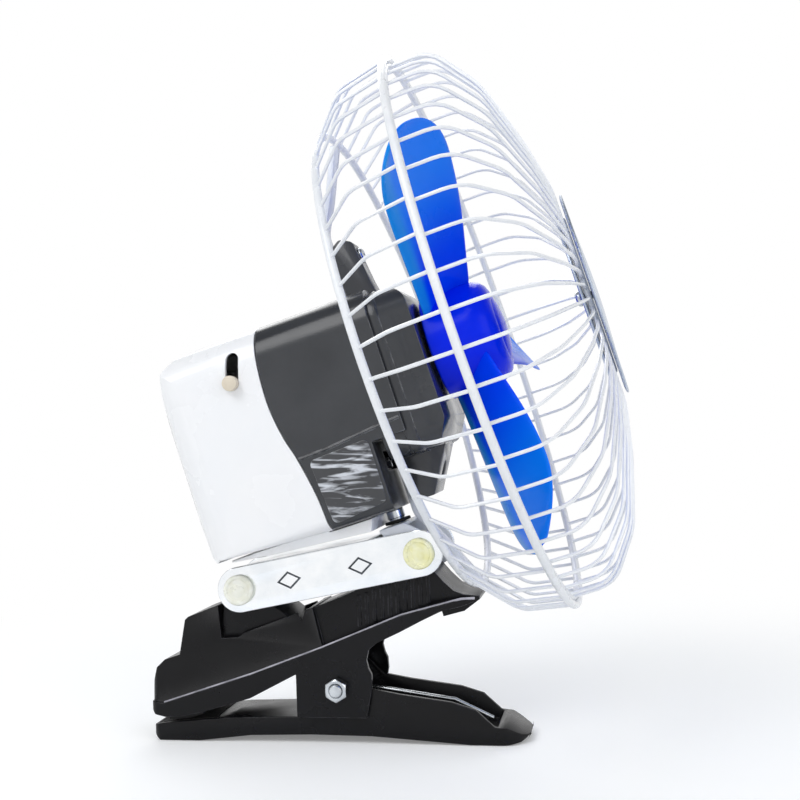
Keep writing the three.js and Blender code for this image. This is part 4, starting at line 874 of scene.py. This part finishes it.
# a raised diamond outline with sloped sides, coloured dark as painted shade; the arm shows inside it
def lozenge(side, middle):
    width, height = armShape["diamond"]
    drop, face, rise = armShape["drop"], side * armShape["outer"], armShape["rise"]
    corners = [(middle - width / 2, drop), (middle, drop - height / 2), (middle + width / 2, drop),
               (middle, drop + height / 2)]
    piece = slab(corners, "Y", face - side * 0.5, face + side * rise)
    startEdit(piece)
    bpy.ops.mesh.select_mode(type="FACE")
    for part in bmesh.from_edit_mesh(piece.data).faces:
        if part.normal.y * side > 0.9:
            part.select_set(True)
    bpy.ops.transform.resize(value=armShape["slope"], center_override=(middle, face, drop))
    bpy.ops.mesh.inset(thickness=armShape["rim"], depth=0)
    bpy.ops.mesh.inset(thickness=armShape["step"], depth=-rise - 0.2)
    endEdit()
    return piece


finishPiece(linkArm(), "linkArm", "arm", "chrome", "link_arm", smooth=26)
for sideName, side in sides.items():
    for index, share in enumerate(armShape["diamonds"]):
        diamond = lozenge(side, armLength * share)
        finishPiece(diamond, "diamond" + sideName + str(index + 1), "arm", "paintedShadeSteel", smooth=20)
print("link arm made")

# neck
finishCopy("head_bracket", "headBracket", "neck", "whitePaint", 0.3)
finishCopy("spindle_lever", "spindleLever", "neck", "zincSteel", 0.2)
neckShape = {"spindle": [(2.6, -65.7), (3, -65.3), (3, -59.1), (3.5, -59), (3.5, -57.9), (3.2, -57.7),
                         (3.2, -57.2), (3.5, -57), (3.5, -54.2), (3.1, -53.8), (3, -53.8), (3, -34.6),
                         (2.6, -34.2)],
             "washer": [(4.9, -59), (5.2, -58.8), (5.2, -58), (4.9, -57.8), (3.7, -57.8), (3.7, -59)]}
spindle = settle(turned(neckShape["spindle"]), shift(spindleAxial, 0, 0))
finishPiece(spindle, "spindle", "neck", "zincSteel", "spindle", smooth=26)
washer = settle(turned(neckShape["washer"]), shift(spindleAxial, 0, 0))
finishPiece(washer, "spindleWasher", "neck", "blackRubber", "spindle_washer", smooth=26)
print("neck made")

# controls and small screws
knobShape = {"place": (-94.29, 0, 10.69),
             "profile": [(2.0, 26.6), (2.1, 29.4), (2.1, 30.3), (2.6, 30.35), (2.9, 30.7), (2.9, 32.6),
                         (2.6, 33.2), (2.0, 33.4), (1.7, 33.1), (0.4, 33)]}
knob = settle(turned(knobShape["profile"], 40), shift(*knobShape["place"]) @ towardsNear)
finishPiece(knob, "oscillationKnob", "lever", "creamPlastic", smooth=26)
finishCopy("oscillation_lever", "oscillationLever", "lever", "creamPlastic", 0.2)
finishCopy("rocker_switch", "rockerSwitch", "rocker", "redPlastic", 0.5, 3)
finishCopy("cord_gland", "cordGland", "head", "blackRubber", 0.3, 3)

screwShape = {"slot": 0.375, "reach": 1.7,
              "head": [(1.5, -6), (1.5, 0), (2.8, 0), (3, 0.25), (3, 0.9), (2.7, 1.5), (1.9, 1.9), (0.5, 2)]}


def crossScrew():
    screw = turned(screwShape["head"], 40)
    slot, reach = screwShape["slot"], screwShape["reach"]
    for wide, deep in ((reach, slot), (slot, reach)):
        cut(screw, slab(box(-wide, -deep, wide, deep), "Z", 1.0, 3))
    return softened(screw, 0.08, 2, 35)


firstScrew = crossScrew()
screwPlaces = {
    "coverScrewLeft": ("cover_screw_left", (-120.3, -17, -38), backwards),
    "coverScrewRight": ("cover_screw_right", (-120.3, 17, -38), backwards),
    "strapScrewUpper": ("strap_screw_upper", (-37.7, 0, 45), alongAxis),
    "strapScrewLower": ("strap_screw_lower", (-37.7, 0, -45), alongAxis),
    "badgeScrew": ("badge_screw", (38, 0, 0), backwards)}
for name, (node, spot, way) in screwPlaces.items():
    finishPiece(copied(firstScrew, shift(*spot) @ way), name, "head", "zincSteel", node, smooth=26)
bpy.data.objects.remove(firstScrew, do_unlink=True)
print("controls and screws made")

# a replaced node has its piece's finish, and these are for the CAD nodes that show as they are
shownNodes = {"blackRubber": "lower_jaw_pad upper_jaw_pad", "laminationSteel": "stator rotor",
              "copper": "motor_coil", "brass": "front_bush rear_bush hub_bush worm",
              "blackPlastic": "gearbox_frame switch_body", "zincSteel": "motor_shaft crank crank_link",
              "creamPlastic": "worm_wheel"}
for finish, names in shownNodes.items():
    nodeFinishes.update(dict.fromkeys(names.split(), finish))
for name, node in nodes.items():
    finish = finishes[nodeFinishes[name]]
    if node.material_slots:
        for materialSlot in node.material_slots:
            materialSlot.material = finish
    else:
        node.data.materials.append(finish)
print("finishes placed on the nodes")

# floor, light and camera
floorShape = {"size": 30, "drop": 0.0002, "tone": (0.86, 0.87, 0.88, 1), "glow": 0.2, "fade": (0.16, 0.4)}
white = (1, 1, 1, 1)


# away from the object the floor is plain white to the camera and in reflections
def floorMaterial():
    material = bpy.data.materials.new("floorWhite")
    tree = emptied(material)
    diffuse = add(tree, "BsdfDiffuse", Color=floorShape["tone"])
    glow = add(tree, "Emission", Color=white, Strength=floorShape["glow"])
    rays = tree.nodes.new("ShaderNodeLightPath").outputs
    seen = add(tree, "Math", {"operation": "MAXIMUM"}, i0=rays["Is Camera Ray"], i1=rays["Is Glossy Ray"])
    near = add(tree, "AddShader", i0=diffuse, i1=add(tree, "MixShader", i0=seen, i2=glow))
    place = tree.nodes.new("ShaderNodeTexCoord").outputs["Object"]
    reach = add(tree, "VectorMath", {"operation": "LENGTH"}, i0=place).outputs["Value"]
    far = product(tree, ramp(tree, reach, *floorShape["fade"], kind="SMOOTHSTEP"), seen)
    plain = add(tree, "Emission", Color=white, Strength=1.0)
    total = add(tree, "MixShader", i0=far, i1=near, i2=plain)
    connect(tree, tree.nodes.new("ShaderNodeOutputMaterial").inputs["Surface"], total)
    return material


bpy.ops.mesh.primitive_plane_add(size=floorShape["size"], location=(0, 0, -floorShape["drop"]))
floor = bpy.context.object
floor.name = "floor"
floor.data.materials.append(floorMaterial())

# metal and gloss see a room that darkens overhead, and the camera sees white
worldShape = {"tone": (0.96, 0.98, 1, 1), "level": 0.51, "low": 1.0, "overhead": 0.12, "fade": (0.25, 0.95)}
world = bpy.data.worlds.new("studio")
scene.world = world
tree = emptied(world)
way = add(tree, "SeparateXYZ", i0=tree.nodes.new("ShaderNodeTexCoord").outputs["Generated"]).outputs["Z"]
fade = ramp(tree, way, *worldShape["fade"], worldShape["low"], worldShape["overhead"], "SMOOTHSTEP")
soft = add(tree, "Background", Color=worldShape["tone"], Strength=worldShape["level"])
shiny = add(tree, "Background", Color=white, Strength=fade)
plain = add(tree, "Background", Color=white, Strength=1.0)
rays = tree.nodes.new("ShaderNodeLightPath").outputs
lit = add(tree, "MixShader", i0=rays["Is Glossy Ray"], i1=soft, i2=shiny)
whole = add(tree, "MixShader", i0=rays["Is Camera Ray"], i1=lit, i2=plain)
connect(tree, tree.nodes.new("ShaderNodeOutputWorld").inputs["Surface"], whole)

# each lamp is (place, size, power) and points at the fan's middle
lampShape = {"key": ((-0.5, -0.75, 0.95), 0.7, 5.7), "fill": ((0.75, -0.7, 0.55), 0.8, 2.8),
             "back": ((-0.25, 0.8, 0.8), 0.7, 3.4)}
for name, (place, size, power) in lampShape.items():
    bpy.ops.object.light_add(type="AREA", location=place)
    light = bpy.context.object
    light.name = name
    light.data.shape = "SQUARE"
    light.data.size = size
    light.data.energy = power
    light.rotation_euler = (Vector((0, 0, 0.12)) - Vector(place)).to_track_quat("-Z", "Y").to_euler()

cameraShape = {"place": (0.09336, -0.4561, 0.1255), "lens": 53.4,
               "forward": (-0.188, 0.982, 0.0105), "up": (0.036, 0, 0.999)}
forward = Vector(cameraShape["forward"]).normalized()
right = forward.cross(Vector(cameraShape["up"])).normalized()
cameraData = bpy.data.cameras.new("camera")
camera = bpy.data.objects.new("camera", cameraData)
scene.collection.objects.link(camera)
cameraTurn = Matrix((right, right.cross(forward), -forward)).transposed()
camera.matrix_world = shift(*cameraShape["place"]) @ cameraTurn.to_4x4()
cameraData.lens = cameraShape["lens"]
cameraData.sensor_width = 36
cameraData.clip_start = 0.01
cameraData.dof.use_dof = False
scene.camera = camera
scene.view_settings.view_transform = "Standard"
print("stage, light and camera set")
